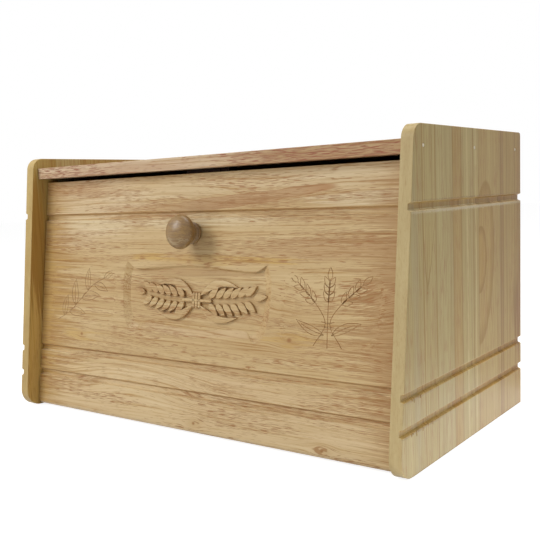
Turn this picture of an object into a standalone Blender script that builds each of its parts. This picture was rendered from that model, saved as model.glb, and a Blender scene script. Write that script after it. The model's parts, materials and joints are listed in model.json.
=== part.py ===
"""Drop-front bread bin of pale hardwood boards, in metres, +Z up.

The front looks along -Y, and the origin is under the middle of the bin, on the surface it stands on.
Two upright sides carry a top, a base and a thin back. The front is a door that turns on two blind
steel pins near its bottom edge. Shut, it leans back on a magnetic catch under the top. Open, it
lies forward until its knob is just above the worktop.
"""

import math

import bmesh
import bpy
from mathutils import Matrix, Vector

# Driving sizes of the bin
WIDTH = 0.400
SIDE_DEPTH = 0.226  # over the rounded foot
SIDE_HEIGHT = 0.232
SIDE_THICKNESS = 0.0095
SIDE_FRONT_SETBACK = 0.030  # how far back the sloping front edge has come by the top
SIDE_FRONT_FOOT_RADIUS = 0.015
SIDE_FRONT_TOP_RADIUS = 0.011
SIDE_BACK_RADIUS = 0.003
EDGE_EASE = 0.001  # sanded edge of every board

# Clearances and cuts
FIT_GAP = 0.0003  # between pieces that touch
CUT_OVERRUN = 0.002  # how far a cutter reaches past the face it opens
WELD_DISTANCE = 0.000003  # points this near are one

# Decorative grooves, a flat floor between two slanted flanks
GROOVE_MOUTH = 0.006
GROOVE_FLOOR = 0.004
GROOVE_DEPTH = 0.0025
UPPER_GROOVE_DROP = 0.0536  # under the tops of the sides
MIDDLE_GROOVE_HEIGHT = 0.0558
LOWER_GROOVE_HEIGHT = 0.0329
DOOR_UPPER_GROOVE_DROP = 0.0021  # the door's grooves sit this much under those of the sides
DOOR_LOWER_GROOVE_DROP = 0.0006

# Top board
TOP_THICKNESS = 0.0099
TOP_INSET = 0.0056  # behind the sides' front edge
TOP_DROP = 0.0093  # under the tops of the sides

# Door
DOOR_THICKNESS = 0.0095
DOOR_FOOT_HEIGHT = 0.0020
DOOR_FOOT_INSET = 0.0128  # behind the sides' front edge, at the bottom
DOOR_HEAD_INSET = 0.0168  # and at the top, which gives the door its lean
DOOR_TOP_GAP = 0.0036
DOOR_SIDE_GAP = 0.0009
DOOR_FOOT_RADIUS = 0.004
PIVOT_RISE = 0.007  # from the door's bottom edge up to its hinge pins

# Hinge pins
HINGE_PIN_RADIUS = 0.002
HINGE_PIN_IN_SIDE = 0.006
HINGE_PIN_IN_DOOR = 0.012
HINGE_PIN_CHAMFER = 0.0005

# Base board, housed in the sides
BASE_THICKNESS = 0.0095
BASE_HOUSING_DEPTH = 0.003
BASE_FRONT_CLEARANCE = 0.0018  # to the sweep of the door's foot

# Back board, held in grooves all round
BACK_THICKNESS = 0.004
BACK_INSET = 0.006
BACK_GROOVE_DEPTH = 0.004

# Panel pins through each side into the top board, and the putty over them
PANEL_PIN_RADIUS = 0.0008
PANEL_PIN_LENGTH = 0.025
PANEL_PIN_TIP = 0.002
PANEL_PIN_HEAD_RADIUS = 0.0012
PANEL_PIN_HEAD_HEIGHT = 0.0008
PUTTY_DEPTH = 0.0015
FRONT_PIN_DISTANCE = 0.0087  # from the top board's front edge
REAR_PIN_DISTANCE = 0.0033  # in front of the back board's groove
MIDDLE_PIN_SHARE = 0.5  # of the way between the two

# Knob, turned in one piece
KNOB_DROP = 0.0487  # down the door, from its top edge
KNOB_BASE_RADIUS = 0.0090
KNOB_BASE_HEIGHT = 0.0036
KNOB_NECK_RADIUS = 0.0066
KNOB_NECK_RISE = 0.0085
KNOB_HEAD_RADIUS = 0.0138
KNOB_HEAD_RISE = 0.0173  # to the head's widest ring
KNOB_HEAD_CROWN = 0.0070  # from there to the tip
KNOB_HEAD_UNDERCUT = 0.0062  # from there down towards the neck

# Knob screw and washer
KNOB_SCREW_RADIUS = 0.0020
KNOB_SCREW_HEAD_RADIUS = 0.0040
KNOB_SCREW_HEAD_HEIGHT = 0.0024
KNOB_SCREW_REACH = 0.012  # into the knob
KNOB_SCREW_TIP = 0.003
KNOB_WASHER_RADIUS = 0.0055
KNOB_WASHER_THICKNESS = 0.0010

# Magnetic catch: a plastic housing, and a magnet between two steel poles that meets a steel strike
POLE_LENGTH = 0.026
POLE_DEPTH = 0.012
POLE_THICKNESS = 0.0010
POLE_PROTRUSION = 0.0015
MAGNET_END_GAP = 0.0010  # the magnet is this much shorter than the poles, at each end
MAGNET_DEPTH = 0.009
MAGNET_HEIGHT = 0.004
CATCH_END_WALL = 0.002
CATCH_EAR_LENGTH = 0.008
CATCH_EAR_THICKNESS = 0.004
CATCH_WALL = 0.0015
CATCH_EDGE = 0.0005
CATCH_EAR_INSET = 0.0010  # the ears are this much shallower than the body, front and back
PACK_HEAD_DISTANCE = 0.0046  # from the door's top edge down to the middle of the magnet
CATCH_SCREW_RADIUS = 0.0015
CATCH_SCREW_HEAD_RADIUS = 0.0028
CATCH_SCREW_HEAD_HEIGHT = 0.0018
CATCH_SCREW_IN_TOP = 0.0065
CATCH_SCREW_TIP = 0.002

# Strike plate on the door's inner face
STRIKE_EAR_LENGTH = 0.007  # past the poles at each end, for a screw
STRIKE_WIDTH = 0.0095
STRIKE_THICKNESS = 0.0012
STRIKE_HEAD_DISTANCE = 0.0012  # from the door's top edge
STRIKE_CORNER = 0.0012
STRIKE_SCREW_RADIUS = 0.0012
STRIKE_SCREW_HEAD_RADIUS = 0.0024
STRIKE_SCREW_LENGTH = 0.008
STRIKE_SCREW_TIP = 0.002

# Carved panel across the door, sunk into its outer face, with drawn-out corners
POCKET_HALF_WIDTH = 0.080
POCKET_FOOT_DISTANCE = 0.0232  # above the door's middle groove
POCKET_HEAD_DISTANCE = 0.0238  # under the middle of the knob
POCKET_DEPTH = 0.0022
POCKET_WALL_RUN = 0.0026
# Right half of its outline from the top middle round to the bottom middle: shares of the half
# width, and of the height
POCKET_OUTLINE_SHARES = (
    (0.00, 0.965),
    (0.24, 0.955),
    (0.52, 0.925),
    (0.78, 0.905),
    (0.87, 0.935),
    (0.95, 1.000),
    (0.975, 0.900),
    (1.00, 0.770),
    (0.995, 0.500),
    (0.975, 0.270),
    (0.92, 0.080),
    (0.83, 0.000),
    (0.73, 0.050),
    (0.50, 0.035),
    (0.24, 0.010),
    (0.00, 0.000),
)

# How finely round shapes are divided
CORNER_STEPS = 8
TURNED_STEPS = 24
FASTENER_STEPS = 16
CROWN_STEPS = 3
POCKET_STEPS = 3
KNOB_STEPS = 40
KNOB_ARC_STEPS = 7
EASE_SEGMENTS = 2
SHARP_ANGLE = math.radians(35)
EASED_EDGE_ANGLE = math.radians(80)
FLAT_ANGLE = math.radians(0.5)

# Places worked out from the sizes
SIDE_FRONT_LEAN = math.atan2(SIDE_FRONT_SETBACK, SIDE_HEIGHT)
FOOT_REACH = SIDE_FRONT_FOOT_RADIUS / math.tan((math.pi / 2 - SIDE_FRONT_LEAN) / 2)
FRONT_Y = SIDE_FRONT_FOOT_RADIUS - FOOT_REACH - SIDE_DEPTH / 2  # the corner before it is rounded
BACK_Y = SIDE_DEPTH / 2
SIDE_INNER_X = WIDTH / 2 - SIDE_THICKNESS
UPPER_GROOVE_HEIGHT = SIDE_HEIGHT - UPPER_GROOVE_DROP
TOP_UPPER_Z = SIDE_HEIGHT - TOP_DROP
TOP_UNDER_Z = TOP_UPPER_Z - TOP_THICKNESS
TOP_MIDDLE_Z = (TOP_UPPER_Z + TOP_UNDER_Z) / 2


def side_front_y(height):
    """Where the sides' sloping front edge is at this height."""
    return FRONT_Y + SIDE_FRONT_SETBACK * height / SIDE_HEIGHT


TOP_FRONT_Y = side_front_y(TOP_MIDDLE_Z) + TOP_INSET
DOOR_HEAD_Z = TOP_UNDER_Z - DOOR_TOP_GAP
DOOR_FOOT_Y = side_front_y(DOOR_FOOT_HEIGHT) + DOOR_FOOT_INSET
DOOR_HEAD_Y = side_front_y(DOOR_HEAD_Z) + DOOR_HEAD_INSET
DOOR_LEAN = math.atan2(DOOR_HEAD_Y - DOOR_FOOT_Y, DOOR_HEAD_Z - DOOR_FOOT_HEIGHT)
DOOR_LENGTH = math.hypot(DOOR_HEAD_Y - DOOR_FOOT_Y, DOOR_HEAD_Z - DOOR_FOOT_HEIGHT)
DOOR_HALF_WIDTH = SIDE_INNER_X - DOOR_SIDE_GAP
DOOR_UP = Vector((0, math.sin(DOOR_LEAN), math.cos(DOOR_LEAN)))
DOOR_INWARD = Vector((0, math.cos(DOOR_LEAN), -math.sin(DOOR_LEAN)))


def door_point(up, inward):
    """A point of the shut door: so far up from its bottom edge, and in from its outer face."""
    foot = Vector((0, DOOR_FOOT_Y, DOOR_FOOT_HEIGHT))
    return foot + DOOR_UP * up + DOOR_INWARD * inward


def door_groove_rise(height, drop):
    """How far up the door a groove lies that sits this much under one of the sides."""
    return (height - drop - DOOR_FOOT_HEIGHT) / math.cos(DOOR_LEAN)


PIVOT = door_point(PIVOT_RISE, DOOR_THICKNESS / 2)
DOOR_LOW = -PIVOT_RISE
DOOR_HIGH = DOOR_LENGTH - PIVOT_RISE
DOOR_OUTER = -DOOR_THICKNESS / 2
DOOR_INNER = DOOR_THICKNESS / 2
FOOT_SWEEP = DOOR_FOOT_RADIUS + math.hypot(
    DOOR_THICKNESS / 2 - DOOR_FOOT_RADIUS, PIVOT_RISE - DOOR_FOOT_RADIUS
)
BASE_UPPER_Z = PIVOT.z + DOOR_THICKNESS / 2  # level with the inner face of the open door
BASE_UNDER_Z = BASE_UPPER_Z - BASE_THICKNESS
BASE_FRONT_Y = PIVOT.y + FOOT_SWEEP + BASE_FRONT_CLEARANCE
DOOR_GROOVE_RISES = (
    door_groove_rise(LOWER_GROOVE_HEIGHT, DOOR_LOWER_GROOVE_DROP),
    door_groove_rise(MIDDLE_GROOVE_HEIGHT, DOOR_LOWER_GROOVE_DROP),
    door_groove_rise(UPPER_GROOVE_HEIGHT, DOOR_UPPER_GROOVE_DROP),
)
KNOB_RISE = DOOR_LENGTH - KNOB_DROP
POCKET_FOOT_RISE = DOOR_GROOVE_RISES[1] + POCKET_FOOT_DISTANCE
POCKET_HEIGHT = KNOB_RISE - POCKET_HEAD_DISTANCE - POCKET_FOOT_RISE
BACK_REAR_Y = BACK_Y - BACK_INSET
BACK_FRONT_Y = BACK_REAR_Y - BACK_THICKNESS
BACK_TONGUE = BACK_GROOVE_DEPTH - FIT_GAP
PIN_ROW_FRONT_Y = TOP_FRONT_Y + FRONT_PIN_DISTANCE
PIN_ROW_REAR_Y = BACK_FRONT_Y - REAR_PIN_DISTANCE
PIN_ROW = {
    "front": PIN_ROW_FRONT_Y,
    "middle": PIN_ROW_FRONT_Y + (PIN_ROW_REAR_Y - PIN_ROW_FRONT_Y) * MIDDLE_PIN_SHARE,
    "rear": PIN_ROW_REAR_Y,
}

# Colours as the photograph shows them, in linear light, with roughness and metallic
OAK_TAN = (0.50, 0.34, 0.17, 1)
SIDE_TAN = (0.46, 0.36, 0.22, 1)
TOP_TAN = (0.52, 0.33, 0.19, 1)
PLY_TAN = (0.55, 0.42, 0.26, 1)
KNOB_BROWN = (0.27, 0.17, 0.08, 1)
PUTTY_CREAM = (0.62, 0.50, 0.33, 1)
CATCH_BROWN = (0.10, 0.055, 0.03, 1)
MAGNET_GREY = (0.05, 0.05, 0.055, 1)
STEEL_GREY = (0.56, 0.56, 0.57, 1)
WOOD_ROUGHNESS = 0.55
KNOB_ROUGHNESS = 0.4
STEEL_ROUGHNESS = 0.35
PLASTIC_ROUGHNESS = 0.45


def clear_scene():
    for obj in list(bpy.data.objects):
        bpy.data.objects.remove(obj, do_unlink=True)


def new_collection(name, hidden=False):
    collection = bpy.data.collections.new(name)
    bpy.context.scene.collection.children.link(collection)
    collection.hide_render = hidden
    return collection


clear_scene()
PARTS = new_collection("bread_bin")
CUTTERS = new_collection("cutters", hidden=True)


def material(name, colour, roughness, metallic=0):
    made = bpy.data.materials.new(name)
    made.use_nodes = True
    made.diffuse_color = colour
    shader = made.node_tree.nodes["Principled BSDF"]
    shader.inputs["Base Color"].default_value = colour
    shader.inputs["Roughness"].default_value = roughness
    shader.inputs["Metallic"].default_value = metallic
    return made


def add_part(name, mesh, colour, roughness=WOOD_ROUGHNESS, metallic=0, parent=None):
    """One sub-part, with a material of its own."""
    obj = bpy.data.objects.new(name, mesh)
    obj.data.materials.append(material(name, colour, roughness, metallic))
    obj.parent = parent
    PARTS.objects.link(obj)
    return obj


def cut(part, name, mesh):
    """Cuts this mesh, which is placed as the part is, out of the part."""
    cutter = bpy.data.objects.new(f"{part.name}_{name}", mesh)
    cutter.parent = part
    cutter.hide_render = True
    cutter.display_type = "WIRE"
    CUTTERS.objects.link(cutter)
    boolean = part.modifiers.new(name, "BOOLEAN")
    boolean.operation = "DIFFERENCE"
    boolean.solver = "EXACT"
    boolean.object = cutter


def join(part, name, mesh, ease):
    """Joins this mesh, with its own eased edges, to the part."""
    piece = bpy.data.objects.new(f"{part.name}_{name}", mesh)
    piece.parent = part
    piece.hide_render = True
    piece.display_type = "WIRE"
    CUTTERS.objects.link(piece)
    ease_edges(piece, ease)
    boolean = part.modifiers.new(name, "BOOLEAN")
    boolean.operation = "UNION"
    boolean.solver = "EXACT"
    boolean.object = piece


def ease_edges(part, width=EDGE_EASE):
    bevel = part.modifiers.new("eased_edges", "BEVEL")
    bevel.width = width
    bevel.segments = EASE_SEGMENTS
    bevel.limit_method = "ANGLE"
    bevel.angle_limit = EASED_EDGE_ANGLE


def smooth(mesh):
    mesh.shade_smooth()
    mesh.set_sharp_from_angle(angle=SHARP_ANGLE)


def box_mesh(name, low, high):
    """A box between two corners."""
    low = Vector(low)
    size = Vector(high) - low
    bm = bmesh.new()
    place = Matrix.Translation(low + size / 2) @ Matrix.Diagonal(size).to_4x4()
    bmesh.ops.create_cube(bm, size=1, matrix=place)
    mesh = bpy.data.meshes.new(name)
    bm.to_mesh(mesh)
    bm.free()
    return mesh


def rod_mesh(name, radius, start, end, chamfer=0):
    """A round bar between two points, with chamfered ends if it has any chamfer."""
    start = Vector(start)
    run = Vector(end) - start
    turn = run.to_track_quat("Z", "Y").to_matrix().to_4x4()
    bm = bmesh.new()
    bmesh.ops.create_cone(
        bm,
        cap_ends=True,
        segments=TURNED_STEPS,
        radius1=radius,
        radius2=radius,
        depth=run.length,
        matrix=Matrix.Translation(start + run / 2) @ turn,
    )
    if chamfer:
        rims = [edge for edge in bm.edges if any(len(face.verts) > 4 for face in edge.link_faces)]
        bmesh.ops.bevel(bm, geom=rims, offset=chamfer, segments=1, affect="EDGES", profile=0.5)
    mesh = bpy.data.meshes.new(name)
    bm.to_mesh(mesh)
    bm.free()
    smooth(mesh)
    return mesh


def fillet(before, corner, after, radius):
    """The points of a round corner of this radius between two straight edges."""
    corner = Vector(corner)
    towards = (Vector(before) - corner).normalized()
    away = (Vector(after) - corner).normalized()
    half = towards.angle(away) / 2
    reach = radius / math.tan(half)
    centre = corner + (towards + away).normalized() * (radius / math.sin(half))
    first = corner + towards * reach - centre
    last = corner + away * reach - centre
    sweep = first.angle_signed(last)
    return [
        centre + Matrix.Rotation(-sweep * step / CORNER_STEPS, 2) @ first
        for step in range(CORNER_STEPS + 1)
    ]


def rounded_outline(corners):
    """A closed outline from (point, radius) corners."""
    points = []
    for index, (corner, radius) in enumerate(corners):
        if radius:
            before = corners[index - 1][0]
            after = corners[(index + 1) % len(corners)][0]
            points += fillet(before, corner, after, radius)
        else:
            points.append(Vector(corner))
    return points


def smooth_loop(points, steps):
    """A closed curve through these points, which leaves each one along its neighbours' chord."""
    made = []
    for index, start in enumerate(points):
        end = points[(index + 1) % len(points)]
        leave = (end - points[index - 1]) / 2
        arrive = (points[(index + 2) % len(points)] - start) / 2
        for step in range(steps):
            t = step / steps
            made.append(
                start * (2 * t**3 - 3 * t**2 + 1)
                + leave * (t**3 - 2 * t**2 + t)
                + end * (3 * t**2 - 2 * t**3)
                + arrive * (t**3 - t**2)
            )
    return made


def outline_mesh(name, points, thickness, chamfer=0):
    """A flat outline made solid, centred on its plane. A chamfer draws in the rims of both faces."""
    curve = bpy.data.curves.new(name, "CURVE")
    curve.dimensions = "2D"
    curve.fill_mode = "BOTH"
    curve.extrude = thickness / 2 - chamfer
    curve.bevel_depth = chamfer
    curve.bevel_resolution = 0
    curve.offset = -chamfer
    spline = curve.splines.new("POLY")
    spline.points.add(len(points) - 1)
    for target, point in zip(spline.points, points):
        target.co = (point.x, point.y, 0, 1)
    spline.use_cyclic_u = True
    guide = bpy.data.objects.new(name, curve)
    CUTTERS.objects.link(guide)
    graph = bpy.context.evaluated_depsgraph_get()
    mesh = bpy.data.meshes.new_from_object(guide.evaluated_get(graph))
    bpy.data.objects.remove(guide)
    bm = bmesh.new()
    bm.from_mesh(mesh)
    bmesh.ops.remove_doubles(bm, verts=bm.verts, dist=WELD_DISTANCE)
    bmesh.ops.dissolve_limit(bm, angle_limit=FLAT_ANGLE, verts=bm.verts, edges=bm.edges)
    bmesh.ops.recalc_face_normals(bm, faces=bm.faces)
    bm.to_mesh(mesh)
    bm.free()
    return mesh


# Turns an outline drawn in the plane, and its thickness, to lie across the bin: the outline's two
# axes become Y and Z, or X and Z, and its thickness becomes X, or Y
ALONG_X = Matrix(((0, 0, 1, 0), (1, 0, 0, 0), (0, 1, 0, 0), (0, 0, 0, 1)))
ALONG_Y = Matrix(((1, 0, 0, 0), (0, 0, -1, 0), (0, 1, 0, 0), (0, 0, 0, 1)))


def turned_mesh(name, profile, steps=FASTENER_STEPS):
    """A turned shape about Z, from (radius, height) points that start on the axis at the top."""
    mesh = bpy.data.meshes.new(f"{name}_profile")
    edges = [(index, index + 1) for index in range(len(profile) - 1)]
    mesh.from_pydata([(radius, 0, height) for radius, height in profile], edges, [])
    guide = bpy.data.objects.new(name, mesh)
    CUTTERS.objects.link(guide)
    screw = guide.modifiers.new("turn", "SCREW")
    screw.steps = steps
    screw.render_steps = steps
    screw.use_merge_vertices = True
    screw.merge_threshold = WELD_DISTANCE
    graph = bpy.context.evaluated_depsgraph_get()
    turned = bpy.data.meshes.new_from_object(guide.evaluated_get(graph))
    bpy.data.objects.remove(guide)
    turned.name = name
    smooth(turned)
    return turned


def screw_profile(head_radius, head_height, shank_radius, length, tip):
    """A pan-head screw: the head stands above height zero, and the shank goes down from it."""
    crown = [
        (head_radius * math.sin(angle), head_height * math.cos(angle))
        for angle in (math.pi / 2 * step / CROWN_STEPS for step in range(CROWN_STEPS))
    ]
    return crown + [
        (head_radius, 0),
        (shank_radius, 0),
        (shank_radius, tip - length),
        (0, -length),
    ]


def flush_screw_profile(head_radius, shank_radius, length, tip, gap=0):
    """A countersunk screw with its face at height zero, or with a gap the hole it sits in."""
    drop = head_radius - shank_radius
    lip = [(head_radius + gap, gap)] if gap else []
    return [
        (0, gap),
        *lip,
        (head_radius + gap, 0),
        (shank_radius + gap, -drop),
        (shank_radius + gap, tip - length),
        (0, -length - gap),
    ]


def door_groove_points(rise):
    """A groove's four corners in the door's section, from the lowest up."""
    floor = DOOR_OUTER + GROOVE_DEPTH
    return [
        Vector((DOOR_OUTER, rise - GROOVE_MOUTH / 2)),
        Vector((floor, rise - GROOVE_FLOOR / 2)),
        Vector((floor, rise + GROOVE_FLOOR / 2)),
        Vector((DOOR_OUTER, rise + GROOVE_MOUTH / 2)),
    ]


def groove_cutter_mesh(name, height, face, outward):
    """A bar that cuts one groove across the face of a side, from front to back."""
    slope = (GROOVE_MOUTH - GROOVE_FLOOR) / 2 / GROOVE_DEPTH
    wide = GROOVE_MOUTH / 2 + slope * CUT_OVERRUN
    floor = face - outward * GROOVE_DEPTH
    outside = face + outward * CUT_OVERRUN
    section = [
        Vector((floor, height - GROOVE_FLOOR / 2)),
        Vector((floor, height + GROOVE_FLOOR / 2)),
        Vector((outside, height + wide)),
        Vector((outside, height - wide)),
    ]
    mesh = outline_mesh(name, section, 2 * (BACK_Y - FRONT_Y))
    mesh.transform(ALONG_Y)
    return mesh


def make_side(name, hand):
    """One upright side: hand is -1 for the left one and 1 for the right one."""
    outline = rounded_outline(
        [
            (Vector((FRONT_Y, 0)), SIDE_FRONT_FOOT_RADIUS),
            (Vector((side_front_y(SIDE_HEIGHT), SIDE_HEIGHT)), SIDE_FRONT_TOP_RADIUS),
            (Vector((BACK_Y, SIDE_HEIGHT)), SIDE_BACK_RADIUS),
            (Vector((BACK_Y, 0)), 0),
        ]
    )
    mesh = outline_mesh(name, outline, SIDE_THICKNESS)
    mesh.transform(ALONG_X)
    mesh.transform(Matrix.Translation((hand * (WIDTH / 2 - SIDE_THICKNESS / 2), 0, 0)))
    side = add_part(name, mesh, SIDE_TAN)
    ease_edges(side)
    outer = hand * WIDTH / 2
    inner = hand * SIDE_INNER_X
    for label, height in (
        ("upper_groove", UPPER_GROOVE_HEIGHT),
        ("middle_groove", MIDDLE_GROOVE_HEIGHT),
        ("lower_groove", LOWER_GROOVE_HEIGHT),
    ):
        cut(side, label, groove_cutter_mesh(label, height, outer, hand))

    housing = box_between(
        "base_housing",
        (inner - hand * CUT_OVERRUN, inner + hand * BASE_HOUSING_DEPTH),
        (BASE_FRONT_Y - FIT_GAP, BACK_Y + CUT_OVERRUN),
        (BASE_UNDER_Z - FIT_GAP, BASE_UPPER_Z + FIT_GAP),
    )
    cut(side, "base_housing", housing)
    back_groove = box_between(
        "back_groove",
        (inner - hand * CUT_OVERRUN, inner + hand * BACK_GROOVE_DEPTH),
        (BACK_FRONT_Y - FIT_GAP, BACK_REAR_Y + FIT_GAP),
        (BASE_UPPER_Z - BACK_GROOVE_DEPTH, TOP_UNDER_Z + BACK_GROOVE_DEPTH),
    )
    cut(side, "back_groove", back_groove)

    pin_hole = rod_mesh(
        "hinge_pin_hole",
        HINGE_PIN_RADIUS + FIT_GAP,
        (inner - hand * CUT_OVERRUN, PIVOT.y, PIVOT.z),
        (inner + hand * (HINGE_PIN_IN_SIDE + FIT_GAP), PIVOT.y, PIVOT.z),
    )
    cut(side, "hinge_pin_hole", pin_hole)
    for label, place in PIN_ROW.items():
        sunk = rod_mesh(
            "pin_head_hole",
            PANEL_PIN_HEAD_RADIUS + FIT_GAP,
            (outer + hand * CUT_OVERRUN, place, TOP_MIDDLE_Z),
            (outer - hand * (PUTTY_DEPTH + PANEL_PIN_HEAD_HEIGHT + 2 * FIT_GAP), place, TOP_MIDDLE_Z),
        )
        cut(side, f"{label}_pin_head_hole", sunk)
        through = rod_mesh(
            "pin_shank_hole",
            PANEL_PIN_RADIUS + FIT_GAP,
            (outer, place, TOP_MIDDLE_Z),
            (inner - hand * CUT_OVERRUN, place, TOP_MIDDLE_Z),
        )
        cut(side, f"{label}_pin_shank_hole", through)


def box_between(name, x_ends, y_ends, z_ends):
    """A box from the two ends along each axis, given in either order."""
    low = [min(ends) for ends in (x_ends, y_ends, z_ends)]
    high = [max(ends) for ends in (x_ends, y_ends, z_ends)]
    return box_mesh(name, low, high)


def make_top_board():
    half = SIDE_INNER_X - FIT_GAP
    mesh = box_mesh("top_board", (-half, TOP_FRONT_Y, TOP_UNDER_Z), (half, BACK_Y, TOP_UPPER_Z))
    board = add_part("top_board", mesh, TOP_TAN)
    ease_edges(board)
    groove = box_mesh(
        "back_groove",
        (-half - CUT_OVERRUN, BACK_FRONT_Y - FIT_GAP, TOP_UNDER_Z - CUT_OVERRUN),
        (half + CUT_OVERRUN, BACK_REAR_Y + FIT_GAP, TOP_UNDER_Z + BACK_GROOVE_DEPTH),
    )
    cut(board, "back_groove", groove)
    reach = WIDTH / 2 - PUTTY_DEPTH - FIT_GAP - PANEL_PIN_LENGTH - FIT_GAP
    for hand in (-1, 1):
        for label, place in PIN_ROW.items():
            hole = rod_mesh(
                "pin_hole",
                PANEL_PIN_RADIUS + FIT_GAP,
                (hand * (half + CUT_OVERRUN), place, TOP_MIDDLE_Z),
                (hand * reach, place, TOP_MIDDLE_Z),
            )
            cut(board, f"{label}_pin_hole_{'right' if hand > 0 else 'left'}", hole)
    for hand in (-1, 1):
        place = catch_screw_place(hand)
        hole = rod_mesh(
            "catch_screw_hole",
            CATCH_SCREW_RADIUS + FIT_GAP,
            (place.x, place.y, TOP_UNDER_Z - CUT_OVERRUN),
            (place.x, place.y, TOP_UNDER_Z + CATCH_SCREW_IN_TOP + FIT_GAP),
        )
        cut(board, f"catch_screw_hole_{'right' if hand > 0 else 'left'}", hole)


def make_base_board():
    half = SIDE_INNER_X + BASE_HOUSING_DEPTH - FIT_GAP
    mesh = box_mesh("base_board", (-half, BASE_FRONT_Y, BASE_UNDER_Z), (half, BACK_Y, BASE_UPPER_Z))
    board = add_part("base_board", mesh, SIDE_TAN)
    ease_edges(board)
    groove = box_mesh(
        "back_groove",
        (-half - CUT_OVERRUN, BACK_FRONT_Y - FIT_GAP, BASE_UPPER_Z - BACK_GROOVE_DEPTH),
        (half + CUT_OVERRUN, BACK_REAR_Y + FIT_GAP, BASE_UPPER_Z + CUT_OVERRUN),
    )
    cut(board, "back_groove", groove)


def make_back_board():
    half = SIDE_INNER_X + BACK_TONGUE
    mesh = box_mesh(
        "back_board",
        (-half, BACK_FRONT_Y, BASE_UPPER_Z - BACK_TONGUE),
        (half, BACK_REAR_Y, TOP_UNDER_Z + BACK_TONGUE),
    )
    add_part("back_board", mesh, PLY_TAN)


def make_panel_pins():
    """Six sunk pins, each with its plug of putty, in two rows along the top board."""
    profile = screw_profile(
        PANEL_PIN_HEAD_RADIUS,
        PANEL_PIN_HEAD_HEIGHT,
        PANEL_PIN_RADIUS,
        PANEL_PIN_LENGTH - PANEL_PIN_HEAD_HEIGHT,
        PANEL_PIN_TIP,
    )
    for hand, side in ((-1, "left"), (1, "right")):
        outer = hand * WIDTH / 2
        turn = Matrix.Rotation(hand * math.pi / 2, 4, "Y")
        head = outer - hand * (PUTTY_DEPTH + FIT_GAP + PANEL_PIN_HEAD_HEIGHT)
        for label, place in PIN_ROW.items():
            pin = turned_mesh("top_pin", profile)
            pin.transform(Matrix.Translation((head, place, TOP_MIDDLE_Z)) @ turn)
            add_part(f"top_pin_{side}_{label}", pin, STEEL_GREY, STEEL_ROUGHNESS, 1)
            putty = rod_mesh(
                "pin_putty",
                PANEL_PIN_HEAD_RADIUS,
                (outer, place, TOP_MIDDLE_Z),
                (outer - hand * PUTTY_DEPTH, place, TOP_MIDDLE_Z),
            )
            add_part(f"pin_putty_{side}_{label}", putty, PUTTY_CREAM)


def make_hinge_pins():
    for hand, side in ((-1, "left"), (1, "right")):
        mesh = rod_mesh(
            "hinge_pin",
            HINGE_PIN_RADIUS,
            (hand * (DOOR_HALF_WIDTH - HINGE_PIN_IN_DOOR), PIVOT.y, PIVOT.z),
            (hand * (SIDE_INNER_X + HINGE_PIN_IN_SIDE), PIVOT.y, PIVOT.z),
            HINGE_PIN_CHAMFER,
        )
        add_part(f"hinge_pin_{side}", mesh, STEEL_GREY, STEEL_ROUGHNESS, 1)


# Sizes and places of the catch. Its magnet and poles lie square to the leaning door, so that both
# poles meet the strike plate, and its housing lies square to the top board
CATCH_BODY_LENGTH = POLE_LENGTH + 2 * CATCH_END_WALL
CATCH_LENGTH = CATCH_BODY_LENGTH + 2 * CATCH_EAR_LENGTH
MAGNET_LENGTH = POLE_LENGTH - 2 * MAGNET_END_GAP
STRIKE_LENGTH = POLE_LENGTH + 2 * STRIKE_EAR_LENGTH
STRIKE_SCREW_OFFSET = (POLE_LENGTH + STRIKE_EAR_LENGTH) / 2
STRIKE_MIDDLE = DOOR_HIGH - STRIKE_HEAD_DISTANCE - STRIKE_WIDTH / 2
STRIKE_FACE = DOOR_THICKNESS + FIT_GAP + STRIKE_THICKNESS
PACK_RISE = DOOR_LENGTH - PACK_HEAD_DISTANCE
PACK_FRONT = door_point(PACK_RISE, STRIKE_FACE + FIT_GAP)
PACK_HALF_HEIGHT = MAGNET_HEIGHT / 2 + FIT_GAP + POLE_THICKNESS
PACK_REAR = PACK_FRONT + DOOR_INWARD * POLE_DEPTH
CATCH_FRONT_Y = PACK_FRONT.y + POLE_PROTRUSION
CATCH_REAR_Y = PACK_REAR.y + PACK_HALF_HEIGHT * math.sin(DOOR_LEAN) + FIT_GAP + CATCH_WALL
CATCH_TOP_Z = TOP_UNDER_Z - FIT_GAP
CATCH_UNDER_Z = PACK_REAR.z - PACK_HALF_HEIGHT * math.cos(DOOR_LEAN) - 2 * FIT_GAP - CATCH_WALL
PACK_PLACE = Matrix.Translation(PACK_FRONT) @ Matrix.Rotation(-DOOR_LEAN, 4, "X")


def catch_screw_place(hand):
    """The middle of one ear, at the level of its lower face."""
    across = (CATCH_BODY_LENGTH + CATCH_LENGTH) / 4
    return Vector((hand * across, (CATCH_FRONT_Y + CATCH_REAR_Y) / 2, CATCH_TOP_Z - CATCH_EAR_THICKNESS))


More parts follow.
